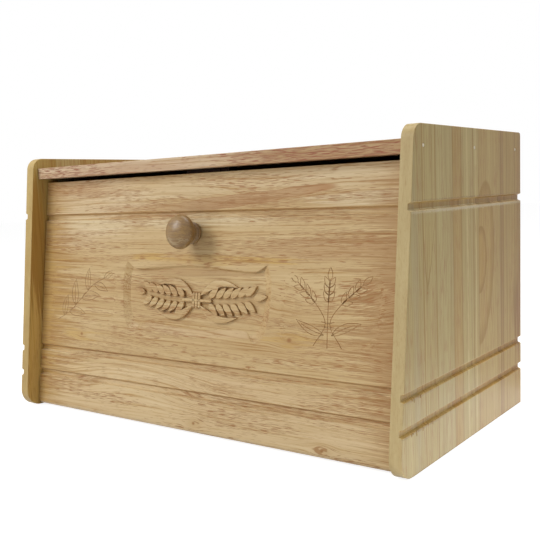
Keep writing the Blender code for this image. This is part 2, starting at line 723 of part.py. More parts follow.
def make_catch_housing():
    """The plastic body with a screw ear at each end, open at the front for the magnet."""
    body_x = CATCH_BODY_LENGTH / 2
    mesh = box_mesh(
        "catch_housing",
        (-body_x, CATCH_FRONT_Y, CATCH_UNDER_Z),
        (body_x, CATCH_REAR_Y, CATCH_TOP_Z),
    )
    housing = add_part("catch_housing", mesh, CATCH_BROWN, PLASTIC_ROUGHNESS)
    ease_edges(housing, CATCH_EDGE)
    ears = box_mesh(
        "ears",
        (-CATCH_LENGTH / 2, CATCH_FRONT_Y + CATCH_EAR_INSET, CATCH_TOP_Z - CATCH_EAR_THICKNESS),
        (CATCH_LENGTH / 2, CATCH_REAR_Y - CATCH_EAR_INSET, CATCH_TOP_Z),
    )
    join(housing, "ears", ears, CATCH_EDGE)
    window = box_mesh(
        "magnet_window",
        (-POLE_LENGTH / 2 - FIT_GAP, -CUT_OVERRUN, -PACK_HALF_HEIGHT - FIT_GAP),
        (POLE_LENGTH / 2 + FIT_GAP, POLE_DEPTH + FIT_GAP, PACK_HALF_HEIGHT + FIT_GAP),
    )
    window.transform(PACK_PLACE)
    cut(housing, "magnet_window", window)
    for hand in (-1, 1):
        place = catch_screw_place(hand)
        hole = rod_mesh(
            "screw_hole",
            CATCH_SCREW_RADIUS + FIT_GAP,
            place - Vector((0, 0, CUT_OVERRUN)),
            place + Vector((0, 0, CATCH_EAR_THICKNESS + CUT_OVERRUN)),
        )
        cut(housing, f"screw_hole_{'right' if hand > 0 else 'left'}", hole)


def make_magnet_pack():
    """A block magnet between two steel poles, lying square to the shut door."""
    half = POLE_LENGTH / 2
    inner = MAGNET_HEIGHT / 2 + FIT_GAP
    for label, low in (("upper", inner), ("lower", -inner - POLE_THICKNESS)):
        pole = box_mesh("pole", (-half, 0, low), (half, POLE_DEPTH, low + POLE_THICKNESS))
        pole.transform(PACK_PLACE)
        add_part(f"catch_pole_{label}", pole, STEEL_GREY, STEEL_ROUGHNESS, 1)
    half = MAGNET_LENGTH / 2
    rear = POLE_DEPTH
    magnet = box_mesh(
        "catch_magnet",
        (-half, rear - MAGNET_DEPTH, -MAGNET_HEIGHT / 2),
        (half, rear, MAGNET_HEIGHT / 2),
    )
    magnet.transform(PACK_PLACE)
    add_part("catch_magnet", magnet, MAGNET_GREY, WOOD_ROUGHNESS)


def make_catch_screws():
    profile = screw_profile(
        CATCH_SCREW_HEAD_RADIUS,
        CATCH_SCREW_HEAD_HEIGHT,
        CATCH_SCREW_RADIUS,
        CATCH_SCREW_IN_TOP + CATCH_EAR_THICKNESS + 2 * FIT_GAP,
        CATCH_SCREW_TIP,
    )
    for hand, side in ((-1, "left"), (1, "right")):
        screw = turned_mesh("catch_screw", profile)
        place = catch_screw_place(hand) - Vector((0, 0, FIT_GAP))
        screw.transform(Matrix.Translation(place) @ Matrix.Rotation(math.pi, 4, "X"))
        add_part(f"catch_screw_{side}", screw, STEEL_GREY, STEEL_ROUGHNESS, 1)


def make_door_axis():
    """The hinge axis. What the door carries is modelled about it, with +Z up the door."""
    axis = bpy.data.objects.new("door_hinge_axis", None)
    axis.location = PIVOT
    axis.rotation_euler = (-DOOR_LEAN, 0, 0)
    PARTS.objects.link(axis)
    return axis


def pocket_outline():
    """The sunk panel's outline, closed, from its right half and the mirror of it."""
    right = [
        Vector((across * POCKET_HALF_WIDTH, DOOR_LOW + POCKET_FOOT_RISE + up * POCKET_HEIGHT))
        for across, up in POCKET_OUTLINE_SHARES
    ]
    left = [Vector((-point.x, point.y)) for point in reversed(right[1:-1])]
    return smooth_loop(right + left, POCKET_STEPS)


def make_door_panel(axis):
    """The board itself: its section carries the grooves and the rounded foot."""
    section = [
        (Vector((DOOR_OUTER, DOOR_LOW)), DOOR_FOOT_RADIUS),
    ]
    for rise in DOOR_GROOVE_RISES:
        section += [(point, 0) for point in door_groove_points(DOOR_LOW + rise)]
    section += [
        (Vector((DOOR_OUTER, DOOR_HIGH)), 0),
        (Vector((DOOR_INNER, DOOR_HIGH)), 0),
        (Vector((DOOR_INNER, DOOR_LOW)), DOOR_FOOT_RADIUS),
    ]
    mesh = outline_mesh("door_panel", rounded_outline(section), 2 * DOOR_HALF_WIDTH)
    mesh.transform(ALONG_X)
    door = add_part("door_panel", mesh, OAK_TAN, parent=axis)
    ease_edges(door)
    pocket = outline_mesh("pocket", pocket_outline(), 2 * POCKET_WALL_RUN + 2 * CUT_OVERRUN, POCKET_WALL_RUN)
    pocket.transform(ALONG_Y)
    pocket.transform(Matrix.Scale(POCKET_DEPTH / POCKET_WALL_RUN, 4, (0, 1, 0)))
    middle = (POCKET_WALL_RUN + CUT_OVERRUN) * POCKET_DEPTH / POCKET_WALL_RUN
    pocket.transform(Matrix.Translation((0, DOOR_OUTER + POCKET_DEPTH - middle, 0)))
    cut(door, "carved_panel", pocket)
    for hand in (-1, 1):
        hole = rod_mesh(
            "hinge_pin_hole",
            HINGE_PIN_RADIUS + FIT_GAP,
            (hand * (DOOR_HALF_WIDTH + CUT_OVERRUN), 0, 0),
            (hand * (DOOR_HALF_WIDTH - HINGE_PIN_IN_DOOR - FIT_GAP), 0, 0),
        )
        cut(door, f"hinge_pin_hole_{'right' if hand > 0 else 'left'}", hole)
    knob_hole = rod_mesh(
        "knob_screw_hole",
        KNOB_SCREW_RADIUS + FIT_GAP,
        (0, DOOR_OUTER - CUT_OVERRUN, DOOR_LOW + KNOB_RISE),
        (0, DOOR_INNER + CUT_OVERRUN, DOOR_LOW + KNOB_RISE),
    )
    cut(door, "knob_screw_hole", knob_hole)
    for hand in (-1, 1):
        hole = rod_mesh(
            "strike_screw_hole",
            STRIKE_SCREW_RADIUS + FIT_GAP,
            (hand * STRIKE_SCREW_OFFSET, DOOR_INNER + CUT_OVERRUN, STRIKE_MIDDLE),
            (
                hand * STRIKE_SCREW_OFFSET,
                DOOR_INNER + FIT_GAP + STRIKE_THICKNESS - STRIKE_SCREW_LENGTH - FIT_GAP,
                STRIKE_MIDDLE,
            ),
        )
        cut(door, f"strike_screw_hole_{'right' if hand > 0 else 'left'}", hole)


def knob_profile():
    """Crown, widest ring, undercut, neck and base, then the screw's blind hole."""
    crown = [
        (
            KNOB_HEAD_RADIUS * math.sin(math.pi / 2 * step / KNOB_ARC_STEPS),
            KNOB_HEAD_RISE + KNOB_HEAD_CROWN * math.cos(math.pi / 2 * step / KNOB_ARC_STEPS),
        )
        for step in range(KNOB_ARC_STEPS + 1)
    ]
    low = math.acos(KNOB_NECK_RADIUS / KNOB_HEAD_RADIUS)
    undercut = [
        (
            KNOB_HEAD_RADIUS * math.cos(low * step / KNOB_ARC_STEPS),
            KNOB_HEAD_RISE - KNOB_HEAD_UNDERCUT * math.sin(low * step / KNOB_ARC_STEPS),
        )
        for step in range(1, KNOB_ARC_STEPS + 1)
    ]
    foot = KNOB_BASE_RADIUS - KNOB_NECK_RADIUS
    neck = [
        (
            KNOB_NECK_RADIUS + foot * (1 - math.cos(math.pi / 2 * step / KNOB_ARC_STEPS)),
            KNOB_NECK_RISE
            - (KNOB_NECK_RISE - KNOB_BASE_HEIGHT) * math.sin(math.pi / 2 * step / KNOB_ARC_STEPS),
        )
        for step in range(KNOB_ARC_STEPS + 1)
    ]
    rim = KNOB_BASE_HEIGHT / 2
    base = [
        (
            KNOB_BASE_RADIUS + rim * math.sin(math.pi * step / KNOB_ARC_STEPS) - rim,
            rim + rim * math.cos(math.pi * step / KNOB_ARC_STEPS),
        )
        for step in range(1, KNOB_ARC_STEPS + 1)
    ]
    hole = KNOB_SCREW_RADIUS + FIT_GAP
    depth = KNOB_SCREW_REACH + FIT_GAP
    bore = [(hole, 0), (hole, depth - KNOB_SCREW_TIP), (0, depth)]
    return crown + undercut + neck + base + bore


def make_knob(axis):
    mesh = turned_mesh("knob", knob_profile(), KNOB_STEPS)
    out = Matrix.Rotation(math.pi / 2, 4, "X")
    place = Matrix.Translation((0, DOOR_OUTER - FIT_GAP, DOOR_LOW + KNOB_RISE))
    mesh.transform(place @ out)
    add_part("knob", mesh, KNOB_BROWN, KNOB_ROUGHNESS, parent=axis)


def make_knob_fixing(axis):
    """A pan-head screw from inside the door, over a washer, up into the knob."""
    seat = DOOR_INNER + FIT_GAP
    rise = DOOR_LOW + KNOB_RISE
    inner = KNOB_SCREW_RADIUS + FIT_GAP
    ring = rod_mesh(
        "knob_washer",
        KNOB_WASHER_RADIUS,
        (0, seat, rise),
        (0, seat + KNOB_WASHER_THICKNESS, rise),
    )
    washer = add_part("knob_washer", ring, STEEL_GREY, STEEL_ROUGHNESS, 1, parent=axis)
    hole = rod_mesh("hole", inner, (0, seat - CUT_OVERRUN, rise), (0, seat + CUT_OVERRUN, rise))
    cut(washer, "hole", hole)
    under_head = seat + KNOB_WASHER_THICKNESS + FIT_GAP
    length = under_head - DOOR_OUTER + KNOB_SCREW_REACH
    profile = screw_profile(
        KNOB_SCREW_HEAD_RADIUS, KNOB_SCREW_HEAD_HEIGHT, KNOB_SCREW_RADIUS, length, KNOB_SCREW_TIP
    )
    mesh = turned_mesh("knob_screw", profile)
    mesh.transform(Matrix.Translation((0, under_head, rise)) @ Matrix.Rotation(-math.pi / 2, 4, "X"))
    add_part("knob_screw", mesh, STEEL_GREY, STEEL_ROUGHNESS, 1, parent=axis)


def make_strike(axis):
    """The steel plate that the catch's poles meet, with its two countersunk screws."""
    seat = DOOR_INNER + FIT_GAP
    face = seat + STRIKE_THICKNESS
    half = STRIKE_LENGTH / 2
    low = STRIKE_MIDDLE - STRIKE_WIDTH / 2
    high = STRIKE_MIDDLE + STRIKE_WIDTH / 2
    corners = [(-half, low), (-half, high), (half, high), (half, low)]
    outline = rounded_outline([(Vector(corner), STRIKE_CORNER) for corner in corners])
    mesh = outline_mesh("strike_plate", outline, STRIKE_THICKNESS)
    mesh.transform(ALONG_Y)
    mesh.transform(Matrix.Translation((0, seat + STRIKE_THICKNESS / 2, 0)))
    plate = add_part("strike_plate", mesh, STEEL_GREY, STEEL_ROUGHNESS, 1, parent=axis)
    for hand, side in ((-1, "left"), (1, "right")):
        place = Matrix.Translation((hand * STRIKE_SCREW_OFFSET, face, STRIKE_MIDDLE))
        place = place @ Matrix.Rotation(-math.pi / 2, 4, "X")
        shape = (STRIKE_SCREW_HEAD_RADIUS, STRIKE_SCREW_RADIUS, STRIKE_SCREW_LENGTH, STRIKE_SCREW_TIP)
        hole = turned_mesh("countersink", flush_screw_profile(*shape, gap=FIT_GAP))
        hole.transform(place)
        cut(plate, f"countersink_{side}", hole)
        screw = turned_mesh("strike_screw", flush_screw_profile(*shape))
        screw.transform(place)
        add_part(f"strike_screw_{side}", screw, STEEL_GREY, STEEL_ROUGHNESS, 1, parent=axis)


make_side("side_panel_left", -1)
make_side("side_panel_right", 1)
make_top_board()
make_base_board()
make_back_board()
make_panel_pins()
make_hinge_pins()
make_catch_housing()
make_magnet_pack()
make_catch_screws()
door_axis = make_door_axis()
make_door_panel(door_axis)
make_knob(door_axis)
make_knob_fixing(door_axis)
make_strike(door_axis)
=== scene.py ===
"""Looks of the drop-front bread bin: carved and grooved boards, turned knob, pins, plates and screws.

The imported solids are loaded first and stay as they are. New pieces are modelled over them, in
metres and in the same frame, and take their places from the solids' boxes. The door is carved
lying on a bench, outer face up, and is then set in its place.
"""

import json
import math

import bmesh
import bpy
from bpy.props import FloatProperty, FloatVectorProperty, PointerProperty
from mathutils import Matrix, Vector


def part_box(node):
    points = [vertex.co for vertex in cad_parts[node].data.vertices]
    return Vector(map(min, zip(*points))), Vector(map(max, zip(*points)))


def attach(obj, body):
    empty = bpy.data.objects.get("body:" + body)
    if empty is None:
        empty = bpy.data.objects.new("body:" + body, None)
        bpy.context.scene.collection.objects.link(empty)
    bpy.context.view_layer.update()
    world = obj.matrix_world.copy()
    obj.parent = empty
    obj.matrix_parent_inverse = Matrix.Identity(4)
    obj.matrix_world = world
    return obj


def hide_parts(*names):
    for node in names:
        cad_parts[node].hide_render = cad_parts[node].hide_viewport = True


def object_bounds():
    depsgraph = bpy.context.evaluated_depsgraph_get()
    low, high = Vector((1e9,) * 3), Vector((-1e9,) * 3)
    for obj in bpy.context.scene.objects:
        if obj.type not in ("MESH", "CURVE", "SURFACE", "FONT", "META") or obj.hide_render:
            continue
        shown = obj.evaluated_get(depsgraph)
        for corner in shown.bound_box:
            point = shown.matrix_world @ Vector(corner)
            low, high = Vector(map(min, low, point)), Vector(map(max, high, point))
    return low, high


bl_info = {
    "name": "Bread bin looks",
    "version": (1, 0, 0),
    "blender": (4, 5, 0),
    "location": "View3D > Sidebar > Bread bin",
    "description": "Models the carved, grooved and turned pieces of a wooden bread bin and finishes them",
    "category": "Object",
}

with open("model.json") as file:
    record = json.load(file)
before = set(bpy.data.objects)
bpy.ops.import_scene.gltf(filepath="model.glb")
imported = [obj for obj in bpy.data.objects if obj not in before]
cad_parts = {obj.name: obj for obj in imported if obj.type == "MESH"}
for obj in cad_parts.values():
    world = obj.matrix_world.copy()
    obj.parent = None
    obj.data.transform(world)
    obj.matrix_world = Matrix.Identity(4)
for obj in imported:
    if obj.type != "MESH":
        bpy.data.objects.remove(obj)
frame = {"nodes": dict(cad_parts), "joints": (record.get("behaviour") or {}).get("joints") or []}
CAD_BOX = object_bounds()


def middle(node):
    """The middle of a CAD node's box."""
    low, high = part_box(node)
    return (low + high) / 2


# Places read off the frame
PIVOT = Vector(frame["joints"][0]["pos_m"])
DOOR_UP = (middle("catch_pole_upper") - middle("catch_pole_lower")).normalized()
DOOR_OUT = Vector((0, -DOOR_UP.z, DOOR_UP.y))
DOOR_LEAN = math.atan2(DOOR_UP.y, DOOR_UP.z)
DOOR_THICKNESS = 0.0095
DOOR_PIVOT_RISE = 0.007
DOOR_FOOT = PIVOT - DOOR_UP * DOOR_PIVOT_RISE + DOOR_OUT * DOOR_THICKNESS / 2
BENCH_TO_DOOR = Matrix.Translation(DOOR_FOOT) @ Matrix.Rotation(math.pi / 2 - DOOR_LEAN, 4, "X")
KNOB_RISE = (middle("knob_washer") - DOOR_FOOT).dot(DOOR_UP)
KNOB_DROP = 0.0487
DOOR_LENGTH = KNOB_RISE + KNOB_DROP
DOOR_HALF_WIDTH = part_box("door_panel")[1].x
FIT_GAP = 0.0003
CUT_OVERRUN = 0.002

# Grooves, as heights on the sides, and how far under them the door's are
GROOVE_HEIGHTS = (0.0329, 0.0558, 0.1784)
DOOR_GROOVE_DROPS = (0.0006, 0.0006, 0.0021)
DOOR_FOOT_HEIGHT = 0.002

# Values this near each other are the same, and faces that meet at more than this turn make a sharp edge
SAME_PLACE = 0.00002
SHARP_TURN = math.radians(40)

# Holes for the pins and screws, and where the pins' heads, the strike plate and its screws end
PIN_HOLE_RADIUS = 0.0011
PIN_HEAD_HOLE_RADIUS = 0.0015
PIN_HEAD_LENGTH = 0.0014
CATCH_SCREW_HOLE_RADIUS = 0.0018
KNOB_HOLE_RADIUS = 0.0023
STRIKE_HOLE_RADIUS = 0.0015
STRIKE_HOLE_END = 0.0027
STRIKE_PLATE_DROP = 0.0012
STRIKE_PLATE_HALF = 0.00475
HOLE_SIDES = 24
PIN_PLACES = ("front", "middle", "rear")


def in_metres(name, description, default):
    """A length that a piece is made with."""
    return FloatProperty(name=name, description=description, default=default, unit="LENGTH")


def as_number(name, description, default):
    """A number without a unit."""
    return FloatProperty(name=name, description=description, default=default)


def as_colour(name, description, default):
    """A colour that a material is made with."""
    return FloatVectorProperty(name=name, description=description, default=default, subtype="COLOR")


def as_angle(name, description, degrees):
    """A turn of the camera."""
    return FloatProperty(name=name, description=description, default=math.radians(degrees), subtype="ANGLE")


class BreadBinBoards(bpy.types.PropertyGroup):
    """Sizes of the boards and of what is worked into them."""

    edge_ease: in_metres("Edge ease", "Width of a board's sanded edge", 0.0006)
    top_ease: in_metres("Top edge ease", "Width of the top board's sanded edge", 0.00035)
    groove_ease: in_metres("Groove ease", "Width of a groove's worn edges", 0.0004)
    groove_mouth: in_metres("Groove mouth", "Width of a groove at the face", 0.006)
    groove_floor: in_metres("Groove floor", "Width of a groove's floor", 0.004)
    groove_depth: in_metres("Groove depth", "Depth of a groove", 0.0025)
    side_setback: in_metres("Side setback", "How far back a side's front edge has come by the top", 0.030)
    side_foot_radius: in_metres("Side foot radius", "Radius of a side's lower front corner", 0.015)
    side_top_radius: in_metres("Side top radius", "Radius of a side's upper front corner", 0.011)
    side_back_radius: in_metres("Side back radius", "Radius of a side's upper back corner", 0.003)
    door_foot_radius: in_metres("Door foot radius", "Radius of the door's two lower edges", 0.004)


class BreadBinCarving(bpy.types.PropertyGroup):
    """Sizes of the carving on the door."""

    panel_half_width: in_metres("Panel half width", "Half the width of the sunk panel", 0.080)
    panel_height: in_metres("Panel height", "Height of the sunk panel", 0.060)
    panel_foot: in_metres("Panel foot", "Rise of the sunk panel's lowest edge", 0.077)
    panel_depth: in_metres("Panel depth", "Depth of the sunk panel", 0.0025)
    grain_length: in_metres("Ear grain length", "Length of one carved grain of wheat", 0.0135)
    grain_width: in_metres("Ear grain width", "Width of one carved grain of wheat", 0.0056)
    line_radius: in_metres("Line radius", "Radius of the tool that cuts the thin lines", 0.00031)


class BreadBinColours(bpy.types.PropertyGroup):
    """Colours of the woods and of the other materials."""

    door_light: as_colour("Door, light", "Pale wood of the door", (0.615, 0.455, 0.232))
    door_dark: as_colour("Door, dark", "Brown wood of the door", (0.47, 0.290, 0.116))
    door_pores: as_colour("Door, pores", "Open pores of the door", (0.34, 0.150, 0.045))
    side_light: as_colour("Sides, light", "Pale wood of the sides", (0.465, 0.350, 0.144))
    side_dark: as_colour("Sides, dark", "Brown wood of the sides", (0.365, 0.245, 0.088))
    top_light: as_colour("Top, light", "Pale wood of the top", (0.69, 0.540, 0.350))
    top_dark: as_colour("Top, dark", "Pinkish wood of the top", (0.48, 0.30, 0.17))
    knob_light: as_colour("Knob, light", "Pale wood of the knob", (0.325, 0.193, 0.060))
    knob_dark: as_colour("Knob, dark", "Brown wood of the knob", (0.17, 0.092, 0.028))
    putty: as_colour("Putty", "Filler over the pins", (0.80, 0.71, 0.54))
    plastic: as_colour("Catch plastic", "Housing of the catch", (0.040, 0.017, 0.010))
    zinc: as_colour("Zinc", "Zinc plate of the screws and plates", (0.62, 0.62, 0.60))


class BreadBinStage(bpy.types.PropertyGroup):
    """Camera, floor and lamps."""

    lens: as_number("Lens", "Focal length in millimetres", 52.07)
    shift: as_number("Shift", "Upward shift of the picture", 0.0427)
    camera_place: FloatVectorProperty(
        name="Camera place",
        description="Where the camera stands",
        default=(0.4273, -0.54876, 0.192),
        unit="LENGTH",
    )
    camera_yaw: as_angle("Camera yaw", "Turn to the left", 36.905)
    camera_pitch: as_angle("Camera pitch", "Tilt upwards", -7.398)
    camera_roll: as_angle("Camera roll", "Turn about the line of sight", -2.491)
    key_power: as_number("Key power", "Power of the large lamp in watts", 19.6)
    top_power: as_number("Top power", "Power of the lamp overhead in watts", 13.5)
    fill_power: as_number("Fill power", "Power of the low lamp in watts", 0.18)
    ambient: as_number("Ambient", "Strength of the even light from all round", 0.30)
    floor_size: in_metres("Floor size", "Length of the floor's edges", 12.0)


def pick(active):
    """Leaves this object selected and active, and nothing else."""
    if bpy.context.object and bpy.context.object.mode != "OBJECT":
        bpy.ops.object.mode_set(mode="OBJECT")
    bpy.ops.object.select_all(action="DESELECT")
    active.select_set(True)
    bpy.context.view_layer.objects.active = active


def settle(piece):
    """Puts an object's place into its mesh, so that it sits at the origin."""
    pick(piece)
    bpy.ops.object.transform_apply(location=True, rotation=True, scale=True)
    return piece


def new_block(name, low, high):
    """A cuboid between two corners, given in any order."""
    bpy.ops.object.select_all(action="DESELECT")
    low, high = Vector(low), Vector(high)
    bpy.ops.mesh.primitive_cube_add(size=1, location=(low + high) / 2)
    block = bpy.context.object
    block.name = name
    block.scale = [abs(length) for length in high - low]
    return settle(block)


def face_outward(piece):
    """Turns every face of a piece outwards."""
    pick(piece)
    bpy.ops.object.mode_set(mode="EDIT")
    bpy.ops.mesh.select_all(action="SELECT")
    bpy.ops.mesh.normals_make_consistent(inside=False)
    bpy.ops.object.mode_set(mode="OBJECT")
    return piece


def draw_up(piece, levels, middle=(0, 0)):
    """Draws a flat outline up through levels of (height, size), resized about its middle."""
    bpy.ops.object.mode_set(mode="EDIT")
    bpy.ops.mesh.select_all(action="SELECT")
    for (height, size), (next_height, next_size) in zip(levels, levels[1:]):
        rise = (0, 0, next_height - height)
        bpy.ops.mesh.extrude_region_move(TRANSFORM_OT_translate={"value": rise})
        share = next_size / size
        bpy.ops.transform.resize(value=(share, share, 1), center_override=(*middle, next_height))
    return face_outward(piece)


def new_turning(name, stations, segments=48, place=Matrix.Identity(4)):
    """A turned piece about Z from (radius, height) stations: a disc that is drawn up and resized."""
    bpy.ops.object.select_all(action="DESELECT")
    radius, height = stations[0]
    bpy.ops.mesh.primitive_circle_add(
        vertices=segments, radius=radius, fill_type="NGON", location=(0, 0, height)
    )
    turning = settle(bpy.context.object)
    turning.name = name
    draw_up(turning, [(height, radius) for radius, height in stations])
    turning.matrix_world = place
    return settle(turning)


def new_rod(name, start, end, radius, segments=32):
    """A plain cylinder between two points."""
    bpy.ops.object.select_all(action="DESELECT")
    start, end = Vector(start), Vector(end)
    turn = (end - start).to_track_quat("Z", "Y").to_euler()
    bpy.ops.mesh.primitive_cylinder_add(
        vertices=segments,
        radius=radius,
        depth=(end - start).length,
        location=(start + end) / 2,
        rotation=turn,
    )
    rod = bpy.context.object
    rod.name = name
    return settle(rod)


def new_plate(name, outline, levels, middle=(0, 0)):
    """A drawn outline carried through levels of (height, share of its size about its middle)."""
    bpy.ops.object.select_all(action="DESELECT")
    bpy.ops.mesh.primitive_circle_add(vertices=len(outline), radius=1, fill_type="NGON")
    plate = bpy.context.object
    plate.name = name
    height, share = levels[0]
    for vert, (across, up) in zip(plate.data.vertices, outline):
        vert.co = (middle[0] + (across - middle[0]) * share, middle[1] + (up - middle[1]) * share, height)
    return draw_up(plate, levels, middle)


def new_copy(piece, name, place):
    """Another of the same piece, with its own mesh, set in this place."""
    twin = piece.copy()
    twin.data = piece.data.copy()
    twin.name = name
    bpy.context.scene.collection.objects.link(twin)
    twin.data.transform(place)
    return twin


def join_all(name, pieces):
    """Makes one piece of several."""
    pick(pieces[0])
    for piece in pieces:
        piece.select_set(True)
    bpy.ops.object.join()
    pieces[0].name = name
    return pieces[0]


def scribe(name, strokes, radius, height):
    """The path of a thin round-nosed tool along each stroke of (across, up) points."""
    curve = bpy.data.curves.new(name, "CURVE")
    curve.dimensions = "3D"
    curve.bevel_depth = radius
    curve.bevel_resolution = 1
    curve.use_fill_caps = True
    for points in strokes:
        spline = curve.splines.new("POLY")
        if tuple(points[0]) == tuple(points[-1]):
            spline.use_cyclic_u = True
            points = points[:-1]
        spline.points.add(len(points) - 1)
        for point, (across, up) in zip(spline.points, points):
            point.co = (across, up, height, 1)
    tool = bpy.data.objects.new(name, curve)
    bpy.context.scene.collection.objects.link(tool)
    pick(tool)
    bpy.ops.object.convert(target="MESH")
    return bpy.context.object


def smooth_line(points, steps=6):
    """A flowing line through these points."""
    points = [Vector(point) for point in points]
    ends = [points[0] * 2 - points[1]] + points + [points[-1] * 2 - points[-2]]
    line = []
    for before, start, end, after in zip(ends, ends[1:], ends[2:], ends[3:]):
        for step in range(steps):
            share = step / steps
            line.append(
                (
                    start * 2
                    + (end - before) * share
                    + (before * 2 - start * 5 + end * 4 - after) * share**2
                    + (start * 3 - before - end * 3 + after) * share**3
                )
                / 2
            )
    return line + [points[-1]]


def choose(piece, kind, wanted):
    """Selects the VERT, EDGE or FACE elements that pass this test, in edit mode."""
    bpy.ops.mesh.select_mode(type=kind)
    bpy.ops.mesh.select_all(action="DESELECT")
    mesh = bmesh.from_edit_mesh(piece.data)
    elements = {"VERT": mesh.verts, "EDGE": mesh.edges, "FACE": mesh.faces}[kind]
    for element in elements:
        if wanted(element):
            element.select_set(True)
    mesh.select_flush_mode()
    bmesh.update_edit_mesh(piece.data)


def near(value, target):
    return abs(value - target) < SAME_PLACE


def slice_across(place, normal):
    """Cuts edges across the whole mesh in edit mode, where a plane passes."""
    bpy.ops.mesh.select_mode(type="VERT")
    bpy.ops.mesh.select_all(action="SELECT")
    bpy.ops.mesh.bisect(plane_co=place, plane_no=normal, threshold=0.000001)


def round_corner(piece, wanted, reach, segments):
    """Rounds the edges that pass this test, in edit mode."""
    choose(piece, "EDGE", wanted)
    bpy.ops.mesh.bevel(offset=reach, segments=segments, profile=0.5, affect="EDGES")


def sink_groove(piece, place, depth, sizes):
    """Slices a groove's four lines across the mesh, and pushes its floor in by the vector depth.

    Its place is the axis that it is measured along, a test for the face that it is in, and its height.
    """
    axis, on_face, height = place
    normal = Vector((0, 0, 0))
    normal[axis] = 1
    for half in (sizes.groove_mouth / 2, sizes.groove_floor / 2):
        for hand in (-1, 1):
            slice_across(normal * (height + hand * half), normal)
    half = sizes.groove_floor / 2
    choose(
        piece,
        "VERT",
        lambda vert: on_face(vert.co)
        and (near(vert.co[axis], height - half) or near(vert.co[axis], height + half)),
    )
    bpy.ops.transform.translate(value=depth)


def modify(piece, kind, **settings):
    """Adds a modifier and applies it."""
    pick(piece)
    modifier = piece.modifiers.new(kind.lower(), kind)
    for key, value in settings.items():
        setattr(modifier, key, value)
    bpy.ops.object.modifier_apply(modifier=modifier.name)


def cut_away(piece, *tools, overlapping=False):
    """Takes each tool's shape out of the piece, and removes the tool."""
    for tool in tools:
        modify(
            piece,
            "BOOLEAN",
            operation="DIFFERENCE",
            solver="EXACT",
            object=tool,
            use_self=overlapping,
            material_mode="TRANSFER",
        )
        bpy.data.objects.remove(tool)


def weigh_edges(piece, weight_of):
    """Sets how much of the bevel's width each edge takes."""
    pick(piece)
    layer = piece.data.attributes.get("bevel_weight_edge") or piece.data.attributes.new(
        "bevel_weight_edge", "FLOAT", "EDGE"
    )
    mesh = bmesh.new()
    mesh.from_mesh(piece.data)
    mesh.edges.ensure_lookup_table()
    for edge in mesh.edges:
        layer.data[edge.index].value = weight_of(edge) if edge.calc_face_angle(0) > SHARP_TURN else 0
    mesh.free()


def finish_surface(piece, angle=32):
    """Shades a finished piece smooth up to this angle, with its flat faces kept flat."""
    pick(piece)
    bpy.ops.object.shade_smooth_by_angle(angle=math.radians(angle))
    modify(piece, "WEIGHTED_NORMAL", keep_sharp=True)


def dress(piece, body, slot, *finishes, replaces=()):
    """Gives a finished piece its materials, body and the CAD nodes that it stands for. The slot is not used.
    """
    if finishes:
        piece.data.materials.clear()
        for finish in finishes:
            piece.data.materials.append(finish)
    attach(piece, body)
    if replaces:
        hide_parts(*replaces)
    return piece


def repaint(node, finish):
    """A CAD node keeps its shape and gets this material."""
    mesh = frame["nodes"][node].data
    mesh.materials.clear()
    mesh.materials.append(finish)


